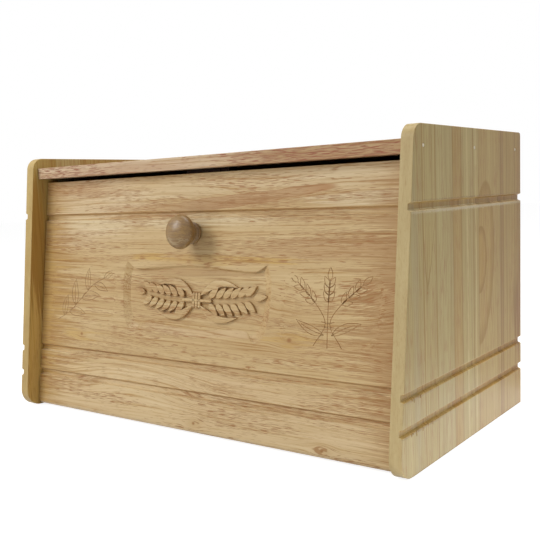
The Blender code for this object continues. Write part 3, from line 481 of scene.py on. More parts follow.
class Recipe:
    """A material under construction: each call adds a node and returns its output."""

    def __init__(self, name):
        self.material = bpy.data.materials.new(name)
        self.material.use_nodes = True
        self.tree = self.material.node_tree
        self.shader = self.tree.nodes["Principled BSDF"]

    def node(self, kind, inputs, output=0, **settings):
        made = self.tree.nodes.new(kind)
        for key, value in settings.items():
            setattr(made, key, value)
        for key, value in inputs.items():
            self.feed(made.inputs[key], value)
        return made.outputs[output]

    def feed(self, socket, value):
        if isinstance(value, bpy.types.NodeSocket):
            self.tree.links.new(value, socket)
        else:
            socket.default_value = value

    def surface(self, **values):
        """Feeds the shader's sockets, named with underscores for spaces."""
        for key, value in values.items():
            self.feed(self.shader.inputs[key.replace("_", " ")], value)

    def coords(self):
        """Object coordinates."""
        return self.node("ShaderNodeTexCoord", {}, output=3)

    def split(self, vector):
        """A vector's three parts."""
        parts = self.tree.nodes.new("ShaderNodeSeparateXYZ")
        self.feed(parts.inputs[0], vector)
        return parts.outputs

    def math(self, operation, first, second=0.0):
        return self.node("ShaderNodeMath", {0: first, 1: second}, operation=operation)

    def plus(self, first, second):
        return self.math("ADD", first, second)

    def less(self, first, second):
        return self.math("SUBTRACT", first, second)

    def times(self, first, second):
        return self.math("MULTIPLY", first, second)

    def blend(self, share, first, second, kind="MIX"):
        """Mixes two colours."""
        return self.node(
            "ShaderNodeMix", {0: share, 6: first, 7: second}, output=2, data_type="RGBA", blend_type=kind
        )

    def stain(self, colour, area, tint, share):
        """Lays this share of a tint over a colour, where the area is 1."""
        return self.blend(self.times(area, share), colour, (*tint, 1))

    def mottle(self, colour, scale, low, high):
        """A plain colour that is cloudily darker and lighter by these shares."""
        cloud = self.noise(self.coords(), scale, detail=2)
        return self.blend(1.0, (*colour, 1), self.step(cloud, 0.3, 0.7, low, high), "MULTIPLY")

    def noise(self, vector, scale=1.0, detail=2.0, roughness=0.5, offset=(0, 0, 0)):
        """Cloudy values about a half. A tuple as the scale stretches them along each axis."""
        if isinstance(scale, tuple):
            vector = self.node("ShaderNodeMapping", {"Vector": vector, "Scale": scale, "Location": offset})
            scale = 1.0
        inputs = {"Vector": vector, "Scale": scale, "Detail": detail, "Roughness": roughness}
        return self.node("ShaderNodeTexNoise", inputs)

    def step(self, value, low, high, start=0.0, end=1.0):
        """A smooth step from start to end as the value passes from low to high."""
        inputs = {"Value": value, "From Min": low, "From Max": high, "To Min": start, "To Max": end}
        return self.node("ShaderNodeMapRange", inputs, interpolation_type="SMOOTHSTEP")

    def ramp(self, value, stops, interpolation="LINEAR"):
        """A colour or grey ramp from (place, colour) stops."""
        made = self.tree.nodes.new("ShaderNodeValToRGB")
        made.color_ramp.interpolation = interpolation
        elements = made.color_ramp.elements
        while len(elements) < len(stops):
            elements.new(0.5)
        for element, (place, _) in zip(elements, sorted(stops)):
            element.position = place
        for element, (_, colour) in zip(elements, sorted(stops)):
            element.color = (*colour, 1) if isinstance(colour, tuple) else (colour, colour, colour, 1)
        self.feed(made.inputs[0], value)
        return made.outputs[0]

    def moved(self, vector, along=0.0, across=0.0):
        """Shifts a pattern along the grain and across it."""
        move = self.node("ShaderNodeCombineXYZ", {0: along, 1: across})
        return self.node("ShaderNodeVectorMath", {0: vector, 1: move}, operation="ADD")

    def placed(self, vector, centre, reach, degrees):
        """Coordinates about this centre, turned, in shares of the reach."""
        inputs = {"Vector": vector, "Location": (*centre, 0), "Scale": (*reach, 1)}
        inputs["Rotation"] = (0, 0, math.radians(degrees))
        return self.node("ShaderNodeMapping", inputs, vector_type="TEXTURE")

    def ball(self, vector, centre, radii, degrees):
        """1 in the middle of an ellipse, falling evenly to 0 at its edge."""
        placed = self.placed(vector, centre, radii, degrees)
        return self.node("ShaderNodeTexGradient", {"Vector": placed}, output=1, gradient_type="SPHERICAL")

    def spot(self, vector, centre, radii, degrees=0, edge=0.8):
        """1 in the middle of an ellipse, falling smoothly to 0 over this share of its radius."""
        return self.step(self.ball(vector, centre, radii, degrees), 0.0, edge)

    def tongue(self, vector, tip, reach, degrees, blunt):
        """A pointed arch of grain that fades away from its tip: its inside and its edge."""
        along, across, _ = self.split(self.placed(vector, tip, reach, degrees))
        back = self.times(along, -1.0)
        within = self.less(back, self.math("POWER", self.math("ABSOLUTE", across), blunt))
        inside = self.times(self.step(within, 0.0, 0.05), self.step(back, 0.45, 1.0, 1.0, 0.0))
        return inside, self.times(inside, self.step(within, 0.03, 0.16, 1.0, 0.0))

    def lens(self, vector, centre, radii, degrees, start):
        """An oval figure that a stave's edge cuts off at this place across: its inside and its dark edge."""
        ball = self.ball(vector, centre, radii, degrees)
        beyond = self.step(self.split(vector)[1], start - SOFT_EDGE, start + SOFT_EDGE)
        inside = self.times(self.step(ball, 0.0, 0.05), beyond)
        return inside, self.times(inside, self.step(ball, 0.04, 0.34, 1.0, 0.0))

    def bump(self, height, distance, strength):
        return self.node("ShaderNodeBump", {"Height": height, "Distance": distance, "Strength": strength})


# How each board's own frame is read from object coordinates: along the grain, across it, through it
GRAIN_ORDERS = {"door": "XYZ", "upright": "ZYX", "level": "XYZ", "rear": "XZY"}


def grain_frame(recipe, lie):
    """Object coordinates turned so that X is along the grain, Y across it and Z through the board."""
    coords = recipe.coords()
    if lie == "door":
        back = BENCH_TO_DOOR.inverted()
        inputs = {"Vector": coords, "Location": back.to_translation(), "Rotation": back.to_euler()}
        coords = recipe.node("ShaderNodeMapping", inputs)
    parts = recipe.split(coords)
    inputs = {index: parts[axis] for index, axis in enumerate(GRAIN_ORDERS[lie])}
    return recipe.node("ShaderNodeCombineXYZ", inputs)


# Half the width over which a figure's cut edge fades, and how far from the bin's middle the lines of wear and
# painted shade begin
SOFT_EDGE = 0.0003
WEAR_AND_SHADE_FROM = 0.1980
# A growth ring's darkness over its width, and what the pale and dark fibres keep of the colour
RING = ((0.0, 0.0), (0.25, 0.12), (0.72, 0.75), (0.84, 1.0), (0.96, 0.1), (1.0, 0.0))
PALE_FIBRE = (1.12, 1.18, 1.28, 1)
DARK_FIBRE = (0.70, 0.54, 0.33, 1)


def wood(
    name, lie, light, dark, pores, *,
    wander=0.030, ring_gap=0.0065, ring_share=0.35,
    pore_share=0.8, pore_shape=(95, 2500, 2500), streak_shape=(10, 600, 600), streak_share=0.95,
    staves=(), tongues=(), lenses=(), swells=(), knots=(), tints=(), wear_and_shade_lines=(), fleck_spots=(),
    roughness=0.46, gloss=0.32,
):
    """A lacquered board: wandering growth rings, fibres, dashes of open pores, knots and tinted areas.

    Staves are (start across, tint). Tongues are (tip, reach, degrees, blunt, colour, share, edge colour,
    edge share), lenses (centre, radii, degrees, start across, colour, share, edge colour, edge share),
    swells (centre, radii, lift), knots (centre, radius), tints (centre, radii, degrees, colour, share),
    lines of wear and of painted shade (centre, radii, colour, share) and fleck spots (centre, radii), in
    the grain's frame. The lines of wear and painted shade show on outer faces only.
    """
    recipe = Recipe(name)
    flat = seeded = grain_frame(recipe, lie)
    _, across, through = recipe.split(flat)
    if staves:
        start, end = staves[0][0], staves[-1][0]
        share = recipe.math("DIVIDE", recipe.less(across, start), end - start)
        places = [(edge - start) / (end - start) for edge, _ in staves[:-1]]
        stops = [(place, tint) for place, (_, tint) in zip(places, staves)]
        stave_tint = recipe.ramp(share, stops, "CONSTANT")
        seeds = [(place, index / len(places)) for index, place in enumerate(places)]
        seeded = recipe.moved(flat, along=recipe.times(recipe.ramp(share, seeds, "CONSTANT"), 3.0))

    # The grain wanders, swells into tongues and parts round the knots
    slow = recipe.noise(seeded, (1.8, 15, 15), detail=1.5)
    quick = recipe.noise(seeded, (11, 70, 70), detail=2)
    drift = recipe.times(recipe.less(slow, 0.5), wander)
    drift = recipe.plus(drift, recipe.times(recipe.less(quick, 0.5), 0.0036))
    for centre, radii, lift in swells:
        drift = recipe.plus(drift, recipe.times(recipe.spot(flat, centre, radii), lift))
    for centre, radius in knots:
        pull = recipe.times(recipe.spot(flat, centre, (radius * 2.2, radius)), 0.85)
        drift = recipe.plus(drift, recipe.times(recipe.less(centre[1], across), pull))
    grain = recipe.moved(seeded, across=drift)
    waver = recipe.less(recipe.noise(seeded, (22, 330, 330), detail=3), 0.5)
    feather = recipe.less(recipe.noise(seeded, (6, 420, 420), detail=3, roughness=0.6), 0.5)
    feathered = recipe.moved(flat, along=recipe.times(feather, 0.16))
    lazy = recipe.moved(feathered, across=recipe.times(waver, 0.011))
    crisp = recipe.moved(flat, across=recipe.times(waver, 0.003))

    # Broad tone and growth rings
    tone = recipe.times(recipe.noise(grain, (2.2, 34, 34), detail=3, roughness=0.6), 0.62)
    fine_tone = recipe.times(recipe.noise(grain, (7, 190, 190), detail=3, roughness=0.6), 0.38)
    tone = recipe.step(recipe.plus(tone, fine_tone), 0.34, 0.66)
    phase = recipe.math("FRACT", recipe.math("DIVIDE", recipe.split(grain)[1], ring_gap))
    ring_fade = recipe.step(recipe.noise(seeded, (3, 40, 40), detail=1), 0.4, 0.62)
    ring = recipe.times(recipe.times(recipe.ramp(phase, RING), ring_fade), ring_share)
    colour = recipe.blend(recipe.plus(recipe.times(tone, 0.62), ring), (*light, 1), (*dark, 1))
    for centre, radii, degrees, tint, share in tints:
        colour = recipe.stain(colour, recipe.spot(lazy, centre, radii, degrees, 0.45), tint, share)
    for make, figures in ((recipe.tongue, tongues), (recipe.lens, lenses)):
        for *shape, fill, share, line, line_share in figures:
            inside, rim = make(crisp, *shape)
            colour = recipe.stain(recipe.stain(colour, inside, fill, share), rim, line, line_share)
    if staves:
        colour = recipe.blend(1.0, colour, stave_tint, "MULTIPLY")

    # Fibres, then dashes of open pores where they gather
    streak = recipe.noise(grain, streak_shape, detail=4, roughness=0.68)
    pale_fibre = recipe.step(streak, 0.50, 0.28, 0.0, streak_share * 0.8)
    dark_fibre = recipe.step(streak, 0.50, 0.70, 0.0, streak_share)
    colour = recipe.blend(pale_fibre, colour, PALE_FIBRE, "MULTIPLY")
    colour = recipe.blend(dark_fibre, colour, DARK_FIBRE, "MULTIPLY")
    crowd = recipe.step(recipe.noise(grain, (9, 95, 95), detail=2, offset=(3, 1, 2)), 0.38, 0.66)
    for centre, radii in fleck_spots:
        crowd = recipe.math("MAXIMUM", crowd, recipe.spot(lazy, centre, radii))
    dash = recipe.noise(grain, pore_shape, detail=1, roughness=0.4, offset=(1, 5, 2))
    gate = recipe.step(crowd, 0.0, 1.0, 0.66, 0.51)
    dash = recipe.times(recipe.step(recipe.less(dash, gate), 0.0, 0.06), pore_share)
    colour = recipe.blend(dash, colour, (*pores, 1))
    for centre, radius in knots:
        halo = recipe.spot(flat, centre, (radius * 1.5, radius * 0.8))
        heart = recipe.spot(flat, centre, (radius * 0.28, radius * 0.24))
        colour = recipe.stain(recipe.stain(colour, halo, dark, 0.35), heart, pores, 0.85)

    # Lines of rubbed wear and of painted shade along the grooves' lips, laid on outer faces only
    if wear_and_shade_lines:
        fuzz = recipe.less(recipe.noise(seeded, (500, 1400, 1400), detail=2), 0.5)
        fuzzed = recipe.moved(flat, along=recipe.times(fuzz, 0.005))
        depth = recipe.math("ABSOLUTE", through)
        outer = recipe.step(depth, WEAR_AND_SHADE_FROM - SOFT_EDGE, WEAR_AND_SHADE_FROM + SOFT_EDGE)
    for centre, radii, tint, share in wear_and_shade_lines:
        area = recipe.times(recipe.spot(fuzzed, centre, radii, 0, 0.6), outer)
        colour = recipe.stain(colour, area, tint, share)

    recipe.surface(
        Base_Color=colour,
        Roughness=recipe.step(streak, 0.3, 0.7, roughness - 0.05, roughness + 0.05),
        Specular_IOR_Level=gloss,
        Normal=recipe.bump(recipe.less(recipe.times(streak, 0.5), dash), 0.00012, 0.6),
    )
    return recipe.material


def plain_metal(name, colour, roughness):
    """Plated or drawn steel with faint scratches."""
    recipe = Recipe(name)
    scratch = recipe.noise(recipe.coords(), (60, 400, 800), detail=3)
    recipe.surface(
        Base_Color=recipe.mottle(colour, 160.0, 0.88, 1.08),
        Metallic=1.0,
        Roughness=recipe.step(scratch, 0.3, 0.7, roughness - 0.06, roughness + 0.1),
        Normal=recipe.bump(scratch, 0.00002, 0.4),
    )
    return recipe.material


def moulded_plastic(name, colour):
    """Brown plastic with the mould's fine grain."""
    recipe = Recipe(name)
    grain = recipe.noise(recipe.coords(), 2600.0, detail=2)
    recipe.surface(
        Base_Color=recipe.mottle(colour, 90.0, 0.85, 1.15),
        Roughness=recipe.step(grain, 0.3, 0.7, 0.52, 0.66),
        Specular_IOR_Level=0.25,
        Normal=recipe.bump(grain, 0.00003, 0.5),
    )
    return recipe.material


def ferrite(name):
    """Dark sintered magnet with a granular face."""
    recipe = Recipe(name)
    specks = recipe.noise(recipe.coords(), 3200.0, detail=3)
    black, grey = (0.03, 0.03, 0.032, 1), (0.075, 0.075, 0.08, 1)
    recipe.surface(
        Base_Color=recipe.blend(recipe.step(specks, 0.4, 0.7), black, grey),
        Roughness=0.62,
        Normal=recipe.bump(specks, 0.00005, 0.6),
    )
    return recipe.material


def filler(name, colour):
    """Dried putty, chalky and slightly pitted."""
    recipe = Recipe(name)
    recipe.surface(
        Base_Color=recipe.mottle(colour, 500.0, 0.84, 1.12),
        Roughness=0.72,
        Normal=recipe.bump(recipe.noise(recipe.coords(), 2400.0, detail=3), 0.00006, 0.6),
    )
    return recipe.material


def grain_outline(length, width, steps=9):
    """A grain of wheat lying along X from its round foot to its pointed tip."""
    shares = [step / steps for step in range(1, steps)]
    edge = [(length * share, width / 2 * math.sin(math.pi * share**0.72) ** 0.85) for share in shares]
    return [(0, 0)] + [(x, -y) for x, y in edge] + [(length, 0)] + edge[::-1]


def leaf_outline(length, width, bow, steps=12):
    """A blade lying along X, pointed at both ends and bowed upwards by this share of its length."""
    upper, lower = [], []
    for step in range(steps + 1):
        share = step / steps
        spine = bow * length * 4 * share * (1 - share)
        half = width / 2 * math.sin(math.pi * share**0.8)
        upper.append((length * share, spine + half))
        lower.append((length * share, spine - half))
    return lower + upper[-2:0:-1]


def bar_outline(width, height, steps=6):
    """A bar with round ends, across the middle."""
    radius = min(width, height) / 2
    reach_x, reach_y = width / 2 - radius, height / 2 - radius
    points = []
    for quarter, (side_x, side_y) in enumerate(((1, 1), (-1, 1), (-1, -1), (1, -1))):
        for step in range(steps):
            turn = math.pi / 2 * (quarter + step / (steps - 1))
            x, y = radius * math.cos(turn), radius * math.sin(turn)
            points.append((side_x * reach_x + x, side_y * reach_y + y))
    return points


# Right half of the sunk panel's edge from its head round to its foot, in shares of its size
PANEL_EDGE = (
    (0.00, 0.965), (0.24, 0.955), (0.52, 0.925), (0.78, 0.905), (0.87, 0.935), (0.95, 1.000),
    (0.975, 0.900), (1.00, 0.770), (0.995, 0.500), (0.975, 0.270), (0.92, 0.080), (0.83, 0.000),
    (0.73, 0.050), (0.50, 0.035), (0.24, 0.010), (0.00, 0.000),
)


def panel_outline(sizes):
    """The sunk panel's edge: an arched head between two pointed ears, and a waved foot."""
    width, height = sizes.panel_half_width, sizes.panel_height
    half = [(across * width, sizes.panel_foot + up * height) for across, up in PANEL_EDGE]
    loop = half + [(-across, up) for across, up in half[-2:0:-1]]
    closed = smooth_line(loop[-1:] + loop + loop[:2], 3)
    return closed[3:-4]


def dished_cut(name, outline, depth, runs):
    """What is scooped out inside an outline, with walls that run in from its ends, foot and head."""
    end_run, foot_run, head_run = runs
    tool = new_plate(name, outline, [(CUT_OVERRUN, 1.0), (0, 1.0), (-depth, 1.0)])
    across = [point[0] for point in outline]
    up = [point[1] for point in outline]
    width, height = max(across) - min(across), max(up) - min(up)
    shares = 1 - 2 * end_run / width, 1 - (foot_run + head_run) / height
    still = (max(across) + min(across)) / 2, min(up) + foot_run / (1 - shares[1]), -depth
    bpy.ops.object.mode_set(mode="EDIT")
    choose(tool, "FACE", lambda face: near(face.calc_center_median().z, -depth))
    bpy.ops.transform.resize(value=(*shares, 1), center_override=still)
    bpy.ops.object.mode_set(mode="OBJECT")
    return tool


# How far the walls of the sunk panel and of the fields beside it run in: ends, foot, head
PANEL_RUNS = (0.0068, 0.0060, 0.0020)
FIELD_RUNS = (0.0060, 0.0040, 0.0060)
MOTIF_DEPTHS = (0.0006, 0.0008)
MOTIF_FIELDS = (
    [(-0.174, 0.082), (-0.150, 0.0755), (-0.112, 0.0765), (-0.092, 0.084), (-0.0865, 0.108),
     (-0.091, 0.128), (-0.110, 0.137), (-0.145, 0.139), (-0.172, 0.133), (-0.179, 0.108)],
    [(0.090, 0.081), (0.110, 0.0755), (0.148, 0.0755), (0.170, 0.083), (0.177, 0.108),
     (0.172, 0.133), (0.148, 0.140), (0.112, 0.138), (0.093, 0.129), (0.0865, 0.105)],
)

# The twig: its stem, and each leaf's foot, lean and length
TWIG_STEM = [(-0.166, 0.0815), (-0.149, 0.0905), (-0.133, 0.104), (-0.119, 0.1155), (-0.106, 0.121)]
TWIG_LEAVES = (
    ((-0.158, 0.0850), 78, 0.020),
    ((-0.151, 0.0893), -2, 0.022),
    ((-0.1425, 0.0955), 92, 0.024),
    ((-0.1345, 0.1025), 8, 0.024),
    ((-0.1265, 0.1098), 88, 0.020),
    ((-0.1185, 0.1157), -18, 0.019),
    ((-0.106, 0.121), 26, 0.015),
)
LEAF_SLENDERNESS = 0.36

# The sheaf: each stalk's foot, knot, bend and head, the bands, the leaves, and its grains
SHEAF_STALKS = (
    ((0.119, 0.0795), (0.1285, 0.096), (0.119, 0.111), (0.1035, 0.125)),
    ((0.131, 0.0785), (0.1305, 0.096), (0.1305, 0.112), (0.131, 0.1275)),
    ((0.143, 0.0795), (0.1325, 0.096), (0.142, 0.111), (0.1585, 0.125)),
)
SHEAF_BANDS = (
    [(0.1252, 0.0975), (0.1305, 0.0962), (0.1362, 0.0975)],
    [(0.1252, 0.0945), (0.1305, 0.0932), (0.1362, 0.0945)],
)
SHEAF_LEAVES = (((0.1275, 0.088), 158, 0.026, 0.006), ((0.1340, 0.088), 22, 0.026, 0.006))
SHEAF_GRAIN = (0.0088, 0.0040, 6)
SHEAF_TIP_GRAIN = (0.0092, 0.0040, 6)
SHEAF_SPREAD = 0.55
SHEAF_ROWS = 3


def set_down(points, place, turn):
    """Turns a drawn shape and moves it to its place."""
    cos, sin = math.cos(turn), math.sin(turn)
    return [(place[0] + (x * cos - y * sin), place[1] + x * sin + y * cos) for x, y in points]


def scribed_leaf(place, degrees, length, width):
    """A leaf's outline and its rib, as strokes."""
    turn = math.radians(degrees)
    edge = set_down(leaf_outline(length, width, 0.05, 8), place, turn)
    rib = set_down([(0.0, 0.0), (length * 0.45, length * 0.05), (length * 0.8, length * 0.035)], place, turn)
    return [edge + edge[:1], smooth_line(rib, 4)]


def scribed_sprig():
    """Left of the panel: a bent twig with leaves in pairs."""
    strokes = [smooth_line(TWIG_STEM, 5)]
    for place, degrees, length in TWIG_LEAVES:
        strokes += scribed_leaf(place, degrees, length, length * LEAF_SLENDERNESS)
    return strokes


def scribed_sheaf():
    """Right of the panel: three stalks of grain bound by a band."""
    strokes = []
    for foot, knot, bend, head in SHEAF_STALKS:
        strokes.append(smooth_line([foot, knot, bend, head], 5))
        lean = math.atan2(head[1] - bend[1], head[0] - bend[0])
        grains = []
        for row in range(SHEAF_ROWS):
            share = row / SHEAF_ROWS
            place = (bend[0] + (head[0] - bend[0]) * share, bend[1] + (head[1] - bend[1]) * share)
            grains += [(SHEAF_GRAIN, place, lean + side * SHEAF_SPREAD) for side in (-1, 1)]
        for shape, place, turn in (*grains, (SHEAF_TIP_GRAIN, head, lean)):
            edge = set_down(grain_outline(*shape), place, turn)
            strokes.append(edge + edge[:1])
    strokes += SHEAF_BANDS
    for leaf in SHEAF_LEAVES:
        strokes += scribed_leaf(*leaf)
    return strokes


# The carved ears: where they start, how their grains follow each other and how they bend
EAR_MIDDLE = 0.005
EAR_START = 0.0135
EAR_STATIONS = (0.0, 0.0074, 0.0148, 0.0222, 0.0296, 0.0366)
EAR_SPREAD = 44
EAR_BEND = 0.0035
EAR_RISE_SHARE = 0.5
EAR_LEAF = (0.040, 0.0062, 0.16)
EAR_LEAF_TURN = 12
EAR_LEAF_FOOT = 0.0035
STALK_START = 0.0085
TIE_GAP = 0.0030
# Heights of the relief's rounded top, and its size there, over a foot sunk into the panel's floor
RELIEF_TOP = [(-0.0006, 0.99), (-0.0003, 0.94), (-0.00015, 0.82)]
RELIEF_SUNK = 0.0004


def make_wheat_relief(sizes):
    """Two bound ears of wheat that stand up from the panel's floor to the door's face."""
    levels = [(-sizes.panel_depth - RELIEF_SUNK, 1.0)] + RELIEF_TOP
    length, width = sizes.grain_length, sizes.grain_width
    grain = new_plate("grain", grain_outline(length, width), levels, (length * 0.45, 0))
    blade = new_plate("blade", leaf_outline(*EAR_LEAF), levels, (EAR_LEAF[0] / 2, 0.003))
    bar = new_plate("bar", bar_outline(0.0026, 0.0125), levels)
    stalk = new_plate("stalk", bar_outline(0.0150, 0.0026), levels)
    centre = sizes.panel_foot + sizes.panel_height * EAR_RISE_SHARE
    pieces = []

    def set_piece(shape, hand, place, turn, mirror=1):
        pieces.append(
            new_copy(
                shape,
                shape.name,
                Matrix.Translation((EAR_MIDDLE, centre, 0))
                @ Matrix.Diagonal((hand, 1, 1, 1))
                @ Matrix.Translation((*place, 0))
                @ Matrix.Rotation(math.radians(turn), 4, "Z")
                @ Matrix.Diagonal((1, mirror, 1, 1)),
            )
        )

    for hand in (-1, 1):
        for row, along in enumerate(EAR_STATIONS):
            bend = EAR_BEND * (along / EAR_STATIONS[-1]) ** 2
            for side in (-1, 1):
                place = (EAR_START + along, bend + side * width * 0.40)
                set_piece(grain, hand, place, (EAR_SPREAD - 1.5 * row) * side)
        set_piece(grain, hand, (EAR_START + EAR_STATIONS[-1] + length * 0.6, EAR_BEND * 1.2), 8)
        set_piece(stalk, hand, (STALK_START, 0), 0)
        set_piece(blade, hand, (EAR_LEAF_FOOT, EAR_LEAF_FOOT), EAR_LEAF_TURN)
        set_piece(blade, hand, (EAR_LEAF_FOOT, -EAR_LEAF_FOOT), -EAR_LEAF_TURN, -1)
    for across in (-TIE_GAP, 0, TIE_GAP):
        set_piece(bar, 1, (across, 0), 0)
    for shape in (grain, blade, bar, stalk):
        bpy.data.objects.remove(shape)
    return face_outward(join_all("wheat_relief", pieces))


# How far from a groove's middle its eased edges are, how far past its mouth its painted highlight and shade
# reach, and how much its flanks tilt at least
GROOVE_REACH = 0.004
LIP_REACH = 0.0004
FLANK_TILT = 0.15


class BREADBIN_OT_door(bpy.types.Operator):
    """Shape the door's board, sink its panel and carve it"""

    bl_idname = "bread_bin.door"
    bl_label = "Door"

    def execute(self, context):
        carving = context.scene.bread_bin_carving
        colours = context.scene.bread_bin_colours
        finish = make_door_wood(colours)
        door = self.make_board(context.scene.bread_bin_boards, colours, finish)
        for outline, depth in zip(MOTIF_FIELDS, MOTIF_DEPTHS):
            field = dished_cut("field_cut", smooth_line(outline + outline[:1], 4)[:-1], depth, FIELD_RUNS)
            field.data.materials.append(finish)
            cut_away(door, field)
        panel = dished_cut("panel_cut", panel_outline(carving), carving.panel_depth, PANEL_RUNS)
        # The sunk panel's sloping walls get a darker wood as painted shade
        walls = make_shade_and_highlight_wood("carved_wall_painted_shade", colours, (0.95, 0.92, 0.88))
        paint_walls(panel, finish, walls, lambda face: abs(face.normal.z) < 0.995)
        cut_away(door, panel)
        self.drill(door)
        # The thin cut lines are darker, partly their own browner colour and partly painted shade in their
        # narrow cuts
        for name, strokes, depth, stain in (
            ("sprig", scribed_sprig(), MOTIF_DEPTHS[0], (0.72, 0.62, 0.55)),
            ("sheaf", scribed_sheaf(), MOTIF_DEPTHS[1], (0.70, 0.56, 0.44)),
        ):
            lines = scribe(f"{name}_lines", strokes, carving.line_radius, -depth + carving.line_radius * 0.15)
            lines.data.materials.append(make_shade_and_highlight_wood(f"{name}_line_stain_and_shade", colours, stain))
            cut_away(door, lines, overlapping=True)
        finish_surface(door, 12)
        door.data.transform(BENCH_TO_DOOR)
        dress(door, "door", "door_wood", replaces=("door_panel",))

        relief = make_wheat_relief(carving)
        # The relief's steep walls get a dark wood as painted shade
        walls = make_shade_and_highlight_wood("relief_wall_painted_shade", colours, (0.76, 0.66, 0.56))
        paint_walls(relief, finish, walls, lambda face: face.normal.z < 0.3)
        finish_surface(relief)
        relief.data.transform(BENCH_TO_DOOR)
        dress(relief, "door", "door_wood")
        return {"FINISHED"}

    def make_board(self, sizes, colours, finish):
        """The grooved board, lying on the bench, with a painted highlight on its grooves' lower lips and
        painted shade on their upper flanks.
        """
        low, high = (-DOOR_HALF_WIDTH, 0, -DOOR_THICKNESS), (DOOR_HALF_WIDTH, DOOR_LENGTH, 0)
        door = new_block("door_board", low, high)
        bpy.ops.object.mode_set(mode="EDIT")
        round_corner(
            door,
            lambda edge: all(near(vert.co.y, 0) for vert in edge.verts)
            and abs(edge.verts[0].co.x - edge.verts[1].co.x) > DOOR_HALF_WIDTH,
            sizes.door_foot_radius,
            10,
        )
        grooves = [
            (height - drop - DOOR_FOOT_HEIGHT) / math.cos(DOOR_LEAN)
            for height, drop in zip(GROOVE_HEIGHTS, DOOR_GROOVE_DROPS)
        ]
        for rise in grooves:
            sink_groove(door, (1, lambda place: near(place.z, 0), rise), (0, 0, -sizes.groove_depth), sizes)
        bpy.ops.object.mode_set(mode="OBJECT")
        ease_board(
            door,
            sizes,
            lambda place: place.z > -GROOVE_REACH
            and any(abs(place.y - rise) < GROOVE_REACH for rise in grooves),
        )
        # Painted highlight on the grooves' lower lips, painted shade on their upper flanks
        lips = make_shade_and_highlight_wood("door_lip_painted_highlight", colours, (1.16, 1.20, 1.30))
        flanks = make_shade_and_highlight_wood("door_flank_painted_shade", colours, (0.86, 0.77, 0.68))
        for made in (finish, lips, flanks):
            door.data.materials.append(made)
        for face in door.data.polygons:
            rise = min((face.center.y - groove for groove in grooves), key=abs)
            shallow = face.center.z > -sizes.groove_depth - 0.0001
            if shallow and abs(rise) < sizes.groove_mouth / 2 + LIP_REACH:
                lip = rise < 0 and face.normal.y > FLANK_TILT
                face.material_index = 1 if lip else 2 * int(face.normal.y < -FLANK_TILT)
        return door

    def drill(self, door):
        """Holes for the hinge pins, the knob's screw and the strike plate's screws."""
        back = -DOOR_THICKNESS - CUT_OVERRUN
        pin_low, pin_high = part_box("hinge_pin_right")
        strike_rise = DOOR_LENGTH - STRIKE_PLATE_DROP - STRIKE_PLATE_HALF
        for hand in (-1, 1):
            ends = [
                (hand * across, DOOR_PIVOT_RISE, -DOOR_THICKNESS / 2)
                for across in (DOOR_HALF_WIDTH + CUT_OVERRUN, abs(pin_low.x) - FIT_GAP)
            ]
            cut_away(door, new_rod("hinge_hole", *ends, pin_high.z - PIVOT.z + FIT_GAP))
        start, end = (0, KNOB_RISE, CUT_OVERRUN), (0, KNOB_RISE, back)
        cut_away(door, new_rod("knob_hole", start, end, KNOB_HOLE_RADIUS))
        for hand in (-1, 1):
            across = hand * abs(middle("strike_screw_right").x)
            start, end = (across, strike_rise, back), (across, strike_rise, -STRIKE_HOLE_END)
            cut_away(door, new_rod("strike_hole", start, end, STRIKE_HOLE_RADIUS))


def paint_walls(piece, finish, walls, is_wall):
    """Gives a piece two finishes, the second for the faces that pass this test."""
    piece.data.materials.append(finish)
    piece.data.materials.append(walls)
    for face in piece.data.polygons:
        face.material_index = int(is_wall(face))


def ease(board, width):
    """Rounds each weighed edge by its share of this width."""
    modify(board, "BEVEL", width=width, segments=3, limit_method="WEIGHT", use_clamp_overlap=True)


def ease_board(board, sizes, in_groove):
    """Eases a board's sharp edges, and less where its grooves are."""
    share = sizes.groove_ease / sizes.edge_ease

    def weight(edge):
        if all(near(vert.co.z, 0) for vert in edge.verts):
            return share / 2
        return share if all(in_groove(vert.co) for vert in edge.verts) else 1.0

    weigh_edges(board, weight)
    ease(board, sizes.edge_ease)


